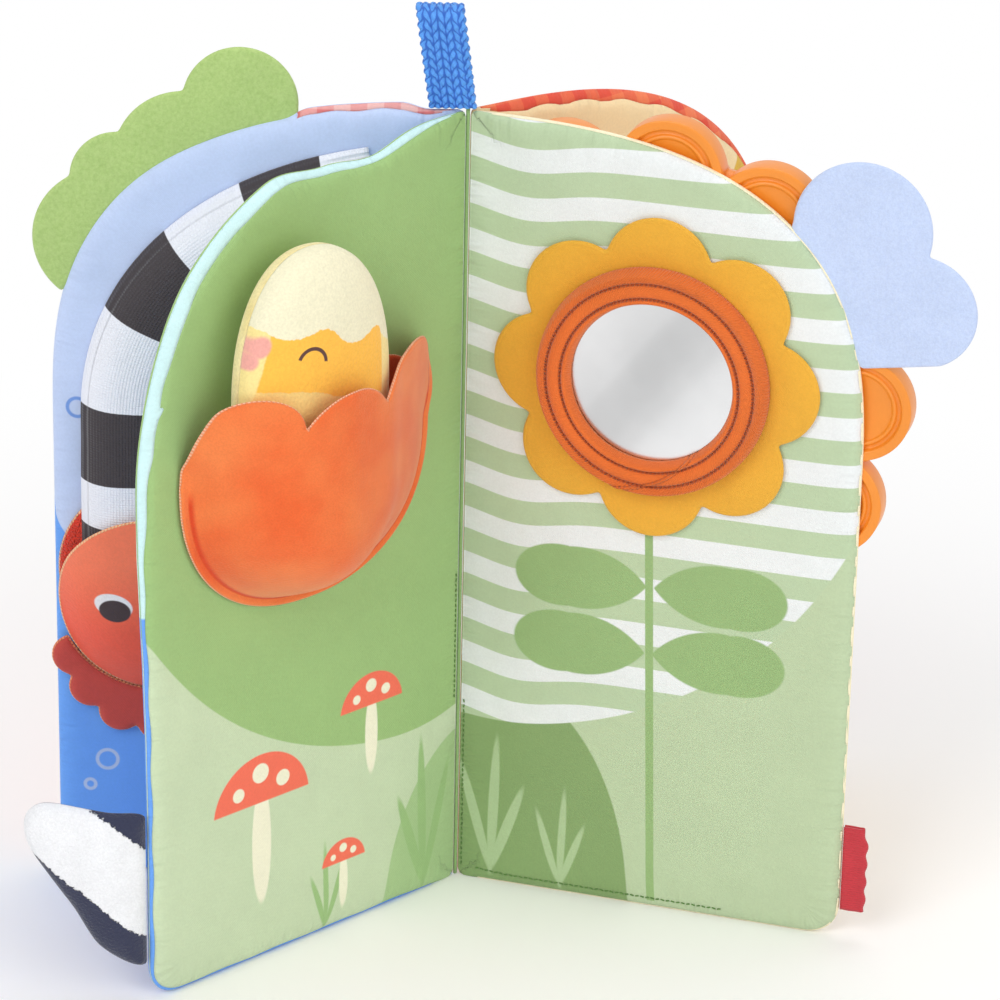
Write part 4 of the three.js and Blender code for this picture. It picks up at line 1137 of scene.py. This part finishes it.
plush = Finish("chick plush", 1.0, 0.5, (1, 0.95, 0.8))
plush.tint(chick_face(plush), 0.02, 6, 0.06, 0.7)
plush.bump(plush.noise(0.9, 2.0), 0.25)
back_plush = pile_cloth("pale yellow plush", rgb(245, 230, 172), rgb(239, 220, 152), 0.7, 0.35, (1, 0.95, 0.8))
front, back = half_of(whole, "chick_front_plush", 0, 1.2), half_of(whole, "chick_back_plush", 1, 1.2)
dress(front, plush.done(), "chick", "yellow_plush", "chick_front", fill=0.7)
dress(back, back_plush.done(), "chick", "cream_plush", "chick_back", fill=0.7)
bpy.data.objects.remove(whole)
core = outline(4.0, [(CHICK_U + (u - CHICK_U) * 0.88, CHICK_V + (v - CHICK_V) * 0.94) for u, v in egg])
filling = pad("chick_stuffing", core, *both_faces(CHICK_REST, stuffed(18, 23)), LEFT_PAGE, 4.0, (1.5,))
dress(filling, wadding, "chick", "filling", "chick_filling", fill=0.8)

# Flipper: sewn in the page's outer edge, and turned back from it

OUTER_EDGE = 113.3  # where what is sewn in a leaf's outer edge begins
FLIPPER = [(0.4, 1.0), (3.5, 1.0), (8.2, 3.3), (13.4, 7.4), (16.4, 12.2), (19.8, 18.6), (24.3, 25.5), (28, 31.3),
           (31.3, 37), (32.8, 42.5), (32.2, 47.3), (29.2, 50.0), (24.9, 50.2), (17, 48.4), (9.8, 46.8),
           (3.5, 46.6), (0.4, 46)]
flipper_turn = LEFT_PAGE - 38.6
edge_place = to_row(LEFT_PAGE, OUTER_EDGE, 0, 10.0) / 1000
flipper_curve = spline(FLIPPER, 8)
flipper_rim = outline(1.8, flipper_curve, [flipper_curve[-1], flipper_curve[0]])
whole = pad("flipper_whole", flipper_rim, *both_faces(0, stuffed(10, 14)), flipper_turn, 2.4, (0.7, 1.7, 3.4))
local = row_to_leaf(places_of(whole), flipper_turn)
far = to_rim(local[:, [0, 2]], flipper_rim)[0]
puffed(whole, np.clip(1 - far / 1.5, 0, 1), np.clip(1.4 - far / 8, 0, 1), 1.5,
       0.05 + 0.8 * np.clip(far / 4, 0, 1) * np.clip(local[:, 0] / 6, 0, 1), 0.08)
put_places(whole, places_of(whole) + edge_place)
subdivided(whole)


def flipper_cloth(name, banded):
    """Navy pile, with one slanting white band if banded."""
    finish = Finish(name, 1.0, 0.35)
    place = finish.vector("SUBTRACT", finish.at(), tuple(edge_place))
    a = math.radians(flipper_turn)
    out = finish.vector("DOT_PRODUCT", place, (1000 * math.cos(a), 1000 * math.sin(a), 0), out=1)
    up = finish.vector("DOT_PRODUCT", place, (0, 0, 1000), out=1)
    frayed = finish.plus(up, finish.step(finish.noise(1.0, 3.0), 0.2, 0.8, -0.7, 0.7))
    upper = finish.curve(out, [(-2, 32), (0, 35.5), (5, 41), (10, 44.7), (15.6, 48.2), (19.4, 50), (25, 52.1),
                               (36, 56)])
    lower = finish.curve(out, [(-2, 8), (5.1, 13.6), (12.1, 20), (18.3, 25.5), (21.7, 27.8), (28.3, 33.9),
                               (36, 40)])
    white = finish.times(finish.step(finish.minus(upper, frayed), -0.2, 0.2),
                        finish.step(finish.minus(frayed, lower), -0.2, 0.2))
    finish.tint(finish.mix(white if banded else 0.0, rgb(52, 56, 80), rgb(243, 244, 247)), 0.03, 6, 0.05, 0.6)
    if banded:
        finish.bump(white, 0.8)
    finish.bump(finish.noise(0.8, 4.0), 0.5)
    return finish.done()


front = half_of(whole, "flipper_front_velour", 0, 0.6)
dress(front, flipper_cloth("white and navy minky", True), "left_page", "white_minky", "flipper_front", fill=0.6)
back = half_of(whole, "flipper_back_velour", 1, 0.6)
dress(back, flipper_cloth("navy velour", False), "left_page", "navy_velour", "flipper_back", fill=0.6)
bpy.data.objects.remove(whole)
core = flipper_rim.mean(0) + (flipper_rim[::2] - flipper_rim.mean(0)) * 0.78
filling = pad("flipper_stuffing", core, *both_faces(0, stuffed(7, 12)), flipper_turn, 4.0, (1.2,))
put_places(filling, places_of(filling) + edge_place)
dress(filling, wadding, "left_page", "filling", "flipper_filling", fill=0.7)

# Fish pocket

FISH_U, FISH_V, FISH_R = 84.0, 88.0, 28
PALE_THREAD = rgb(252, 200, 150)


def fish_inside(u, v):
    """The pocket's inner face, over its back and the foot of the band."""
    across = np.abs(u - FISH_U) / FISH_R
    down = np.maximum(FISH_V + 7 - v, 0) / 35
    spread = np.minimum(np.sqrt(across ** 2 + down ** 2), 1)
    return leaf_face(u, v) + GAP + 1.8 + 11.5 * (1 - spread ** 3)


def whipped_cloth(name, colour, thread, width, knit=0.0):
    """Cloth, or honeycomb knit with cells of that size, with a whipped edge."""
    finish = Finish(name, 0.85, 0.2)
    base = colour(finish) if callable(colour) else colour
    finish.tint(finish.whipped(base, thread, width, 1.1), 0.04, 16, 0.05, 0.7)
    if knit:
        cells = finish.node("TexVoronoi", finish.at(), None, 1000 / knit, feature="DISTANCE_TO_EDGE")
        finish.bump(finish.step(cells, 0.0, 0.3), 0.35)
    else:
        finish.weave(finish.on_leaf(180), 0.5, 0.05)
    finish.bump(finish.noise(12, 2.0), 0.5)
    return finish.done()


def fish_print(finish):
    """Red, lighter towards the top, with a round eye and a white gleam beside it."""
    q = finish.on_leaf(180)
    v = finish.parts(q)[1]
    colour = finish.mix(finish.step(v, 76, 104), rgb(242, 92, 66), rgb(250, 126, 90))
    colour = finish.mix(finish.blob(q, 95.6, 89.6, 5.4, 3.6, 8, 0.2), colour, rgb(242, 240, 240))
    return finish.mix(finish.blob(q, 95.2, 88.0, 4.5, 3.4, 0, 0.2), colour, rgb(66, 52, 54))


piece = sewn("fish_back_knit", outline(1.8, circle(FISH_U, FISH_V + 7, FISH_R)), BACKING, 180, 3.0)
dress(piece, whipped_cloth("red honeycomb knit", rgb(232, 62, 40), PALE_THREAD, 0.5, 1.1), "left_cover",
      "red_knit", "fish_pocket_back", fill=0.3)
piece = sewn("fish_face_cloth", outline(1.8, circle(FISH_U, FISH_V, FISH_R)),
             both_faces(lambda u, v: fish_inside(u, v) + 0.6, cut_cloth(1.2)), 180, 2.6)
dress(piece, whipped_cloth("red printed cloth", fish_print, PALE_THREAD, 0.5), "left_cover", "red_knit",
      "fish_pocket_face", fill=0.5)

FIN_LOBE = 6.3
lobes = [(reach, math.radians(-28 - 18.4 * i)) for i, reach in enumerate((31.5, 33.6, 35, 35, 34, 32.5, 31))]
outer = []
for angle in np.linspace(math.radians(-17), math.radians(-150), 200):
    best = 31.0
    for reach, turn in lobes:
        along, off2 = reach * math.cos(turn - angle), (reach * math.sin(turn - angle)) ** 2
        if off2 < FIN_LOBE ** 2 and along > 0:
            best = max(best, along + math.sqrt(FIN_LOBE ** 2 - off2))
    outer.append((FISH_U - 4 + best * math.cos(angle), FISH_V - 4 + best * math.sin(angle)))
ends = [math.atan2(p[1] - FISH_V, p[0] - FISH_U) for p in (outer[0], outer[-1])]
inner = circle(FISH_U, FISH_V, FISH_R + 0.3, 60, ends[1], ends[0] - ends[1])
rim = outline(1.3, outer[::-1], [outer[0], inner[-1]], inner[::-1], [inner[0], outer[-1]])
piece = sewn("fish_fin_cloth", rim, both_faces(5.3, cut_cloth(3.0, 2.6)), 180, 2.4, (0.5, 1.2, 2.4))
dress(piece, whipped_cloth("dark red cloth", rgb(203, 76, 66), rgb(250, 160, 110), 0.45), "left_cover",
      "fin_cloth", "fish_fin", fill=0.4)

# Striped band: from the fish's mouth up and over along an arch, flatter towards the spine

BAND_U, BAND_HALF, BAND_STEP, BAND_LOFT, BAND_END = 92, 13, 1.5, 8.3, 23
POCKET_TOP = FISH_V + 7 + FISH_R
band_arch = lambda turn: arch(turn, BAND_U, 69, 2.2)
first_turn = math.acos((BAND_END / BAND_U) ** 1.1)
line = run_of(np.vstack([[(BAND_U, v) for v in np.linspace(99, SHOULDER, 14)[:-1]],
                         band_arch(np.linspace(0, first_turn, 90)), [band_arch(first_turn)]]), BAND_STEP)
outwards = np.stack([ways_along(line)[:, 1], -ways_along(line)[:, 0]], -1)
stations = np.sin(np.linspace(-math.pi / 2, math.pi / 2, 21))
rows, columns = len(line), len(stations)
band_points, band_faces = [], []
for face in (1, -1):
    for i, (centre, out) in enumerate(zip(line, outwards)):
        tuck = np.clip((POCKET_TOP + 12 - centre[1]) / 12, 0, 1)
        end_taper = min(1, (min(i, rows - 1 - i) + 1) / 8) ** 0.5
        for s in stations:
            place = centre + out * s * BAND_HALF
            base = float(leaf_face(place[0], place[1])) + GAP + 1.8 * tuck * tuck * (3 - 2 * tuck)
            waist = 1 - 0.05 * math.cos(TAU * (i * BAND_STEP - 24) / 24)
            end_taper = min(end_taper, max(place[0] - 17, 0) / 23)
            rise = 0.5 + BAND_LOFT * (1 - abs(s) ** 2.6) ** 0.8 * end_taper * waist if face > 0 else 0
            band_points.append((place[0], base + rise, place[1]))
for r in range(rows - 1):
    for c in range(columns - 1):
        p = r * columns + c
        q = p + rows * columns
        band_faces += [(p, p + columns, p + columns + 1, p + 1), (q, q + 1, q + columns + 1, q + columns)]
    p, q, last = r * columns, (rows + r) * columns, columns - 1
    band_faces += [(p, q, q + columns, p + columns),
                   (p + last, p + last + columns, q + last + columns, q + last)]
for c in range(columns - 1):
    p, q = c, rows * columns + c
    band_faces += [(p, p + 1, q + 1, q)]
    p, q = (rows - 1) * columns + c, (2 * rows - 1) * columns + c
    band_faces += [(p, q, q + 1, p + 1)]
band = new_piece("striped_band_knit", leaf_to_row(band_points, 180), band_faces)
edited(band, lambda mesh: bmesh.ops.recalc_face_normals(mesh, faces=mesh.faces))
map_by(band, lambda i: (i % (rows * columns) // columns * BAND_STEP, stations[i % columns] * BAND_HALF))
knit = Finish("striped mesh knit", 0.8, 0.2)
along, out = knit.seam()
dark = 0.0
for low, high_end in ((-1, 11.9), (24.6, 45.6), (69.5, 92), (113, 133.3)):
    dark = knit.plus(dark, knit.band(along, low, high_end, 0.12))
knit.tint(knit.mix(dark, rgb(238, 240, 249), rgb(62, 56, 60)), 0.03, 20, 0.03, 0.5)
knit.bump(knit.plus(knit.wave(out, 0.85), knit.times(knit.wave(along, 0.7), 0.8)), 0.055)
knit.bump(knit.step(knit.off(out, 11.2), 0.7, 0.0, 1.0, 0.0), 0.5)
knit.bump(knit.noise(9, 2.0), 0.6)
dress(band, knit.done(), "left_cover", "striped_knit", "striped_band", fill=0.6)

# Flower, mirror and ring: the reader's side of the right page faces -w

FLOWER, PETAL, PETAL_AXIS = (55.5, 161.5), 15.0, 31.0
PAGE = TURN["right_page"]
half = math.pi / 8
valley = PETAL_AXIS * math.cos(half) + math.sqrt(PETAL ** 2 - (PETAL_AXIS * math.sin(half)) ** 2)
swing = math.atan2(valley * math.sin(half), valley * math.cos(half) - PETAL_AXIS)
petals = []
for i in range(8):
    t = 2 * half * i
    petals.append(circle(FLOWER[0] + PETAL_AXIS * math.cos(t), FLOWER[1] + PETAL_AXIS * math.sin(t), PETAL, 29,
                         t - swing, 2 * swing))
rim = outline(1.7, *petals)


def flower_cloth(side):
    """The flower's side towards the page (1) or towards the reader (-1), where each petal is a little fuller."""
    def face(u, v, far):
        turn, reach = np.arctan2(v - FLOWER[1], u - FLOWER[0]), np.hypot(u - FLOWER[0], v - FLOWER[1])
        full = 0.7 * np.clip((reach - 30) / 8, 0, 1) * (0.5 + 0.5 * np.cos(turn * 8)) * np.clip(far / 5, 0, 1)
        return -leaf_face(u, v) - GAP - 0.8 + side * rounded(far, 1.6) - (full if side < 0 else 0)
    return face


flower = sewn("flower_petals_cloth", rim, (flower_cloth(1), flower_cloth(-1)), PAGE, 2.8)
finish = Finish("ochre cloth", 0.8, 0.15)
finish.tint(rgb(236, 175, 52), 0.04, 16, 0.04, 0.7).weave(finish.on_leaf(PAGE), 0.5, 0.05)
finish.bump(finish.step(finish.off(finish.seam()[1], 1.3), 0.5, 0.0, 1.0, 0.0), 0.06)
finish.bump(finish.noise(11, 2.0), 0.7)
dress(flower, finish.done(), "right_page", "ochre_cloth", "flower_petals", fill=0.2)

# The ring is three rolls of knit, from the mirror outwards, with a slanting lap where their ends meet.
SEAT, SIGHT, RING = -5.7, 22.5, 10.0
RING_LOFT, RING_MIDDLE, LAP_TURN, LAP_SLANT = 5.6, 27.5, 276.4, 2.57
ROLLS = [(0, 2.4), (2.4, 6.5), (6.5, 10.0)]
crown = []
for r in np.linspace(0.02, 0.98, 61):
    end = min(1, min(r, 1 - r) / 0.16)
    low, high_end = next(roll for roll in ROLLS if r * RING <= roll[1])
    round_over = math.sin(math.pi * (r * RING - low) / (high_end - low)) ** 0.5
    crown.append((SIGHT + RING * r, RING_LOFT * (0.76 + 0.24 * round_over) * math.sqrt(1 - (1 - end) ** 2)))
profile = [(25.8, 0.02), (SIGHT + RING - 0.6, 0.02), (SIGHT + RING, 0.5)]
profile += [(r, max(h, 1.9 if r < 25.8 else 0.8)) for r, h in crown[::-1]] + [(SIGHT, 1.75), (25.8, 1.75)]
turns = np.linspace(0, TAU, 216, endpoint=False)


def from_lap(turn, r):
    """How far a place on the ring is from the lap, in millimetres."""
    return ((turn - math.radians(LAP_TURN) + math.pi) % TAU - math.pi) * 27 + (r - RING_MIDDLE) * LAP_SLANT


sections = [[(r, h * (1 + 0.14 * math.exp(-(from_lap(t, r) / 0.9) ** 2)) if h > 3.4 else h) for r, h in profile]
            for t in turns]
ring = swept("mirror_ring_knit", [to_row(PAGE, FLOWER[0], SEAT, FLOWER[1])] * len(turns),
             [to_row(PAGE, math.cos(t), 0, math.sin(t)) for t in turns], [to_row(PAGE, 0, -1, 0)] * len(turns),
             sections, True)
finish = Finish("orange ring knit", 0.85, 0.3, (1, 0.8, 0.6))
q = finish.vector("SUBTRACT", finish.on_leaf(PAGE), (*FLOWER, 0))
u, v = finish.parts(q)[:2]
reach, turn = finish.vector("LENGTH", q, out=1), finish.calc("ARCTAN2", v, u)
slant = finish.plus(finish.times(turn, RING_MIDDLE), reach)
dots = finish.step(finish.calc("SINE", finish.times(turn, 140.0)), -0.8, 0.2, 0.45, 1.0)
# The knit is painted darker along the two grooves as painted shade, darkest at the stitches dotted along them,
# and painted shade makes a dark line on either side of the lap's ridge.
groove = finish.calc("MAXIMUM", *(finish.step(finish.off(reach, SIGHT + edge), 0.55, 0.1)
                                  for _, edge in ROLLS[:2]))
ribs = finish.times(finish.wave(slant, 0.75), finish.step(reach, SIGHT + 4, SIGHT + 8, 0.5, 1.0))
lap = finish.plus(finish.times(finish.plus(turn, math.radians(360 - LAP_TURN)), 27.0),
                  finish.times(finish.minus(reach, RING_MIDDLE), LAP_SLANT))
lap = finish.step(finish.calc("ABSOLUTE", finish.plus(finish.calc("ABSOLUTE", lap), -1.3)), 0.6, 0.1)
dark = finish.calc("MAXIMUM", finish.times(groove, dots), finish.times(lap, 0.5))
finish.tint(finish.mix(dark, rgb(231, 112, 40), rgb(176, 72, 24)), 0.04, 12, 0.05, 0.6)
finish.bump(ribs, 0.11)
finish.bump(finish.minus(1.0, dark), 0.4)
finish.bump(finish.noise(0.8, 3.0), 0.12)
dress(ring, finish.done(), "right_page", "orange_knit", "mirror_ring", fill=0.8)


def inset_cap(piece, way, steps):
    """Insets the flat face of a disc that looks up (1) or down (-1), by pairs of a width and a depth."""
    bpy.ops.object.mode_set(mode="EDIT")
    bpy.ops.mesh.select_mode(type="FACE")
    bpy.ops.mesh.select_all(action="DESELECT")
    bpy.ops.object.mode_set(mode="OBJECT")
    max(piece.data.polygons, key=lambda f: f.normal.z * way + len(f.vertices) * 0.01).select = True
    bpy.ops.object.mode_set(mode="EDIT")
    for thickness, depth in steps:
        bpy.ops.mesh.inset(thickness=thickness / 1000, depth=depth / 1000)
    bpy.ops.object.mode_set(mode="OBJECT")


bpy.ops.mesh.primitive_cylinder_add(vertices=96, radius=0.0255, depth=0.0013, location=(0, 0, 0.00065))
mirror = bpy.context.object
mirror.name = "mirror_film_disc"
inset_cap(mirror, 1, [(0.6, 0.1), (4, 0.1)])
finish_with(mirror, "BEVEL", width=0.0002, segments=2)
laid(mirror, PAGE, FLOWER[0], SEAT, FLOWER[1])
finish = Finish("baby-safe mirror film", 0.2, 0, Metallic=1.0)
# The film's colour is painted darker in a diagonal band across the disc as a painted reflection, with soft
# random patches over it.
q = finish.node("Mapping", finish.on_leaf(PAGE), (57, 160, 0), (0, 0, math.radians(52)), (1, 1, 1),
                vector_type="TEXTURE")
mirror_painted_reflection = finish.curve(finish.parts(q)[1], [(-30, 0.86), (-12, 0.80), (-3, 0.66), (5, 0.60), (12, 0.70),
                                         (30, 0.84)])
level = finish.plus(mirror_painted_reflection, finish.step(finish.noise(18, 2.0), 0.3, 0.7, -0.02, 0.02))
greener, bluer = finish.times(level, 1.004), finish.times(level, 1.01)
finish.set("Base Color", finish.node("CombineColor", level, greener, bluer))
finish.bump(finish.noise(30, 2.0), 0.5)
dress(mirror, finish.done(), "right_page", "mirror_film", "mirror_disc")

# Teether: dished petals on one moulded web behind the page

TEETHER, TOOTH_AXIS, TOOTH, TOOTH_SEAT, WEB_REACH = (50.0, 158.0), 60.3, 15.0, 3.8, 60.5
DISH = [(2.5, 0), (0.5, -1.3), (0.9, 0), (0.45, 0.75), (0.7, 0), (0.45, -0.75), (3.2, -0.5), (3.0, -0.25)]
tooth_turns = [112.5 - 28 * i for i in range(8)]


def around_teether(r, turn):
    t = np.radians(turn)
    return np.stack([TEETHER[0] + r * np.cos(t), TEETHER[1] + r * np.sin(t)], -1)


bpy.ops.mesh.primitive_cylinder_add(vertices=72, radius=TOOTH / 1000, depth=0.007, location=(0, 0, 0.0035))
tooth = bpy.context.object
for way in (1, -1):
    inset_cap(tooth, way, DISH)
finish_with(tooth, "BEVEL", width=0.0007, segments=3, limit_method="ANGLE", angle_limit=0.5)
teeth = []
for i, turn in enumerate(tooth_turns):
    copy = placed(f"tooth_{i}", tooth.data.copy())
    u, v = around_teether(TOOTH_AXIS, turn)
    teeth.append(laid(copy, PAGE, u, TOOTH_SEAT, v, 1))
bpy.data.objects.remove(tooth)
angles = np.linspace(tooth_turns[-1], tooth_turns[0], 400)
reach = np.zeros(len(angles))
for turn in tooth_turns:
    off = np.radians(angles - turn)
    inner = (TOOTH - 0.7) ** 2 - (TOOTH_AXIS * np.sin(off)) ** 2
    edge = TOOTH_AXIS * np.cos(off) + np.sqrt(np.maximum(inner, 0))
    reach = np.maximum(reach, np.where(inner > 0, edge, WEB_REACH))
kernel = np.exp(-(np.arange(-14, 15) / 6.5) ** 2)
filleted = np.maximum(reach, np.convolve(np.pad(reach, 14, "edge"), kernel / kernel.sum(), "valid"))
outer = around_teether(filleted, angles)
inner = around_teether(np.full(60, 45.1), np.linspace(tooth_turns[0], tooth_turns[-1], 60))
rim = outline(2.0, outer, [outer[-1], inner[0]], inner, [inner[-1], outer[0]])


def web(side):
    """A face of the web, which is thicker where it meets the petals."""
    def face(u, v, far):
        thick = 1.8 + 3.9 * swell((np.hypot(u - TEETHER[0], v - TEETHER[1]) - 57) / 4)
        return TOOTH_SEAT + thick / 2 + side * rounded(far, thick, 1.1)
    return face


teeth.append(pad("teether_web", rim, web(1), web(-1), PAGE, 3.5, (0.4, 1.0, 2.2)))
teether = joined("teether_rubber", teeth)
set_all(teether, "use_smooth", True)
teether.select_set(True)
bpy.context.view_layer.objects.active = teether
bpy.ops.object.shade_smooth_by_angle(angle=math.radians(40))
bpy.ops.object.select_all(action="DESELECT")
rubber = Finish("orange moulded rubber", 0.38, 0, Coat_Weight=0.15, Coat_Roughness=0.3)
rubber.tint(rgb(238, 142, 39), 0.03, 20, 0.01)
rubber.bump(rubber.noise(1.4, 2.0), 0.04)
dress(teether, rubber.done(), "right_page", "teether", "teether_petals")

# Side tab: a folded ribbon

RIBBON_ROWS = 40
heights = np.linspace(8.7, 34.3, RIBBON_ROWS)
sections = []
for v in heights:
    out = 6.0 + 0.3 * math.sin(v * 1.15) - 1.2 * np.clip((v - 30) / 4, 0, 1)
    ripple = lambda x: 0.12 * math.sin(x * 1.3 + v / 6)
    bent = [(0, 0.9)] + [(x, 0.9 + ripple(x)) for x in np.linspace(0.8, out, 6)]
    bent += [(out + 0.8 * math.cos(t), 0.9 * math.sin(t)) for t in np.linspace(1.2, -1.2, 7)]
    bent += [(x, -0.9 + ripple(x)) for x in np.linspace(out, 0.8, 6)] + [(0, -0.9)]
    sections.append(bent + [(min(x, out + 0.8 - 0.5), y * 0.45) for x, y in bent[::-1]])
side_tab = swept("side_ribbon", [to_row(PAGE, OUTER_EDGE, 0, v) for v in heights],
                 [to_row(PAGE, 1, 0, 0)] * RIBBON_ROWS, [to_row(PAGE, 0, 1, 0)] * RIBBON_ROWS, sections)
finish = Finish("red ribbon", 0.6, 0.25).tint(rgb(198, 40, 54), 0.04, 8, 0.05, 0.5)
finish.bump(finish.wave(finish.parts(finish.on_leaf(PAGE))[1], 0.7), 0.06)
dress(side_tab, finish.done(), "right_page", "red_ribbon", "side_tab")

# Floor, light and camera

OTHER_RAYS = ("Is Glossy Ray", "Is Transmission Ray")  # these see the floor and the world as the camera does
bpy.ops.mesh.primitive_plane_add(size=6)
floor = bpy.context.object
floor.name = "studio_floor"
floor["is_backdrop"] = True
finish = Finish("white studio floor", 0.9, 0)
finish.set("Base Color", rgb(255, 255, 255))
away = finish.step(finish.vector("LENGTH", finish.at(), out=1), 0.13, 0.42)
glow = finish.node("Emission", (1, 1, 1, 1), 1.0)
light_path = finish.node("LightPath").node
seen = light_path.outputs["Is Camera Ray"]
for kind in OTHER_RAYS:
    seen = finish.calc("MAXIMUM", seen, light_path.outputs[kind])
blend = finish.node("MixShader", finish.times(away, seen), finish.shader.outputs[0], glow)
finish.tree.links.new(blend, finish.tree.nodes["Material Output"].inputs[0])
floor.data.materials.append(finish.done())

world = bpy.data.worlds.new("studio")
bpy.context.scene.world = world
world.use_nodes = True
nodes, links = world.node_tree.nodes, world.node_tree.links
ambient = nodes["Background"]
ambient.inputs[0].default_value, ambient.inputs[1].default_value = (1, 1, 1, 1), 0.55
white = nodes.new("ShaderNodeBackground")
white.inputs[0].default_value = (1, 1, 1, 1)
light_path, blend = nodes.new("ShaderNodeLightPath"), nodes.new("ShaderNodeMixShader")
seen = light_path.outputs["Is Camera Ray"]
for kind in OTHER_RAYS:
    either = nodes.new("ShaderNodeMath")
    either.operation = "MAXIMUM"
    links.new(seen, either.inputs[0])
    links.new(light_path.outputs[kind], either.inputs[1])
    seen = either.outputs[0]
for source, target in ((seen, 0), (ambient.outputs[0], 1), (white.outputs[0], 2)):
    links.new(source, blend.inputs[target])
links.new(blend.outputs[0], nodes["World Output"].inputs[0])


def lamp(name, place, size, watts):
    light = bpy.data.lights.new(name, "AREA")
    light.size, light.energy = size, watts
    holder = placed(name, light)
    holder.location = place
    holder.rotation_euler = (Vector((0, 0, 0.12)) - Vector(place)).to_track_quat("-Z", "Y").to_euler()


lamp("key", (-0.7, -1.1, 1.1), 0.9, 9)
lamp("fill", (0.9, -1.0, 0.7), 1.1, 5.5)
lamp("top", (0.1, 0.3, 1.4), 1.0, 5)

camera = bpy.data.cameras.new("camera")
camera.lens, camera.sensor_width = 167.65, 36
holder = placed("camera", camera)
tilt, yaw, lean = (math.radians(a) for a in (22.80, 0.14, 1.19))
forward = Vector((math.sin(yaw) * math.cos(tilt), math.cos(yaw) * math.cos(tilt), -math.sin(tilt)))
level = Vector((math.cos(yaw), -math.sin(yaw), 0))
right = math.cos(lean) * level + math.sin(lean) * level.cross(forward)
up = right.cross(forward)
turned = Matrix((right, up, -forward)).transposed().to_4x4()
holder.matrix_world = Matrix.Translation((0.0078, -1.192, 0.6176)) @ turned
bpy.context.scene.camera = holder
bpy.context.scene.view_settings.view_transform = "Standard"

low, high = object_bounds()
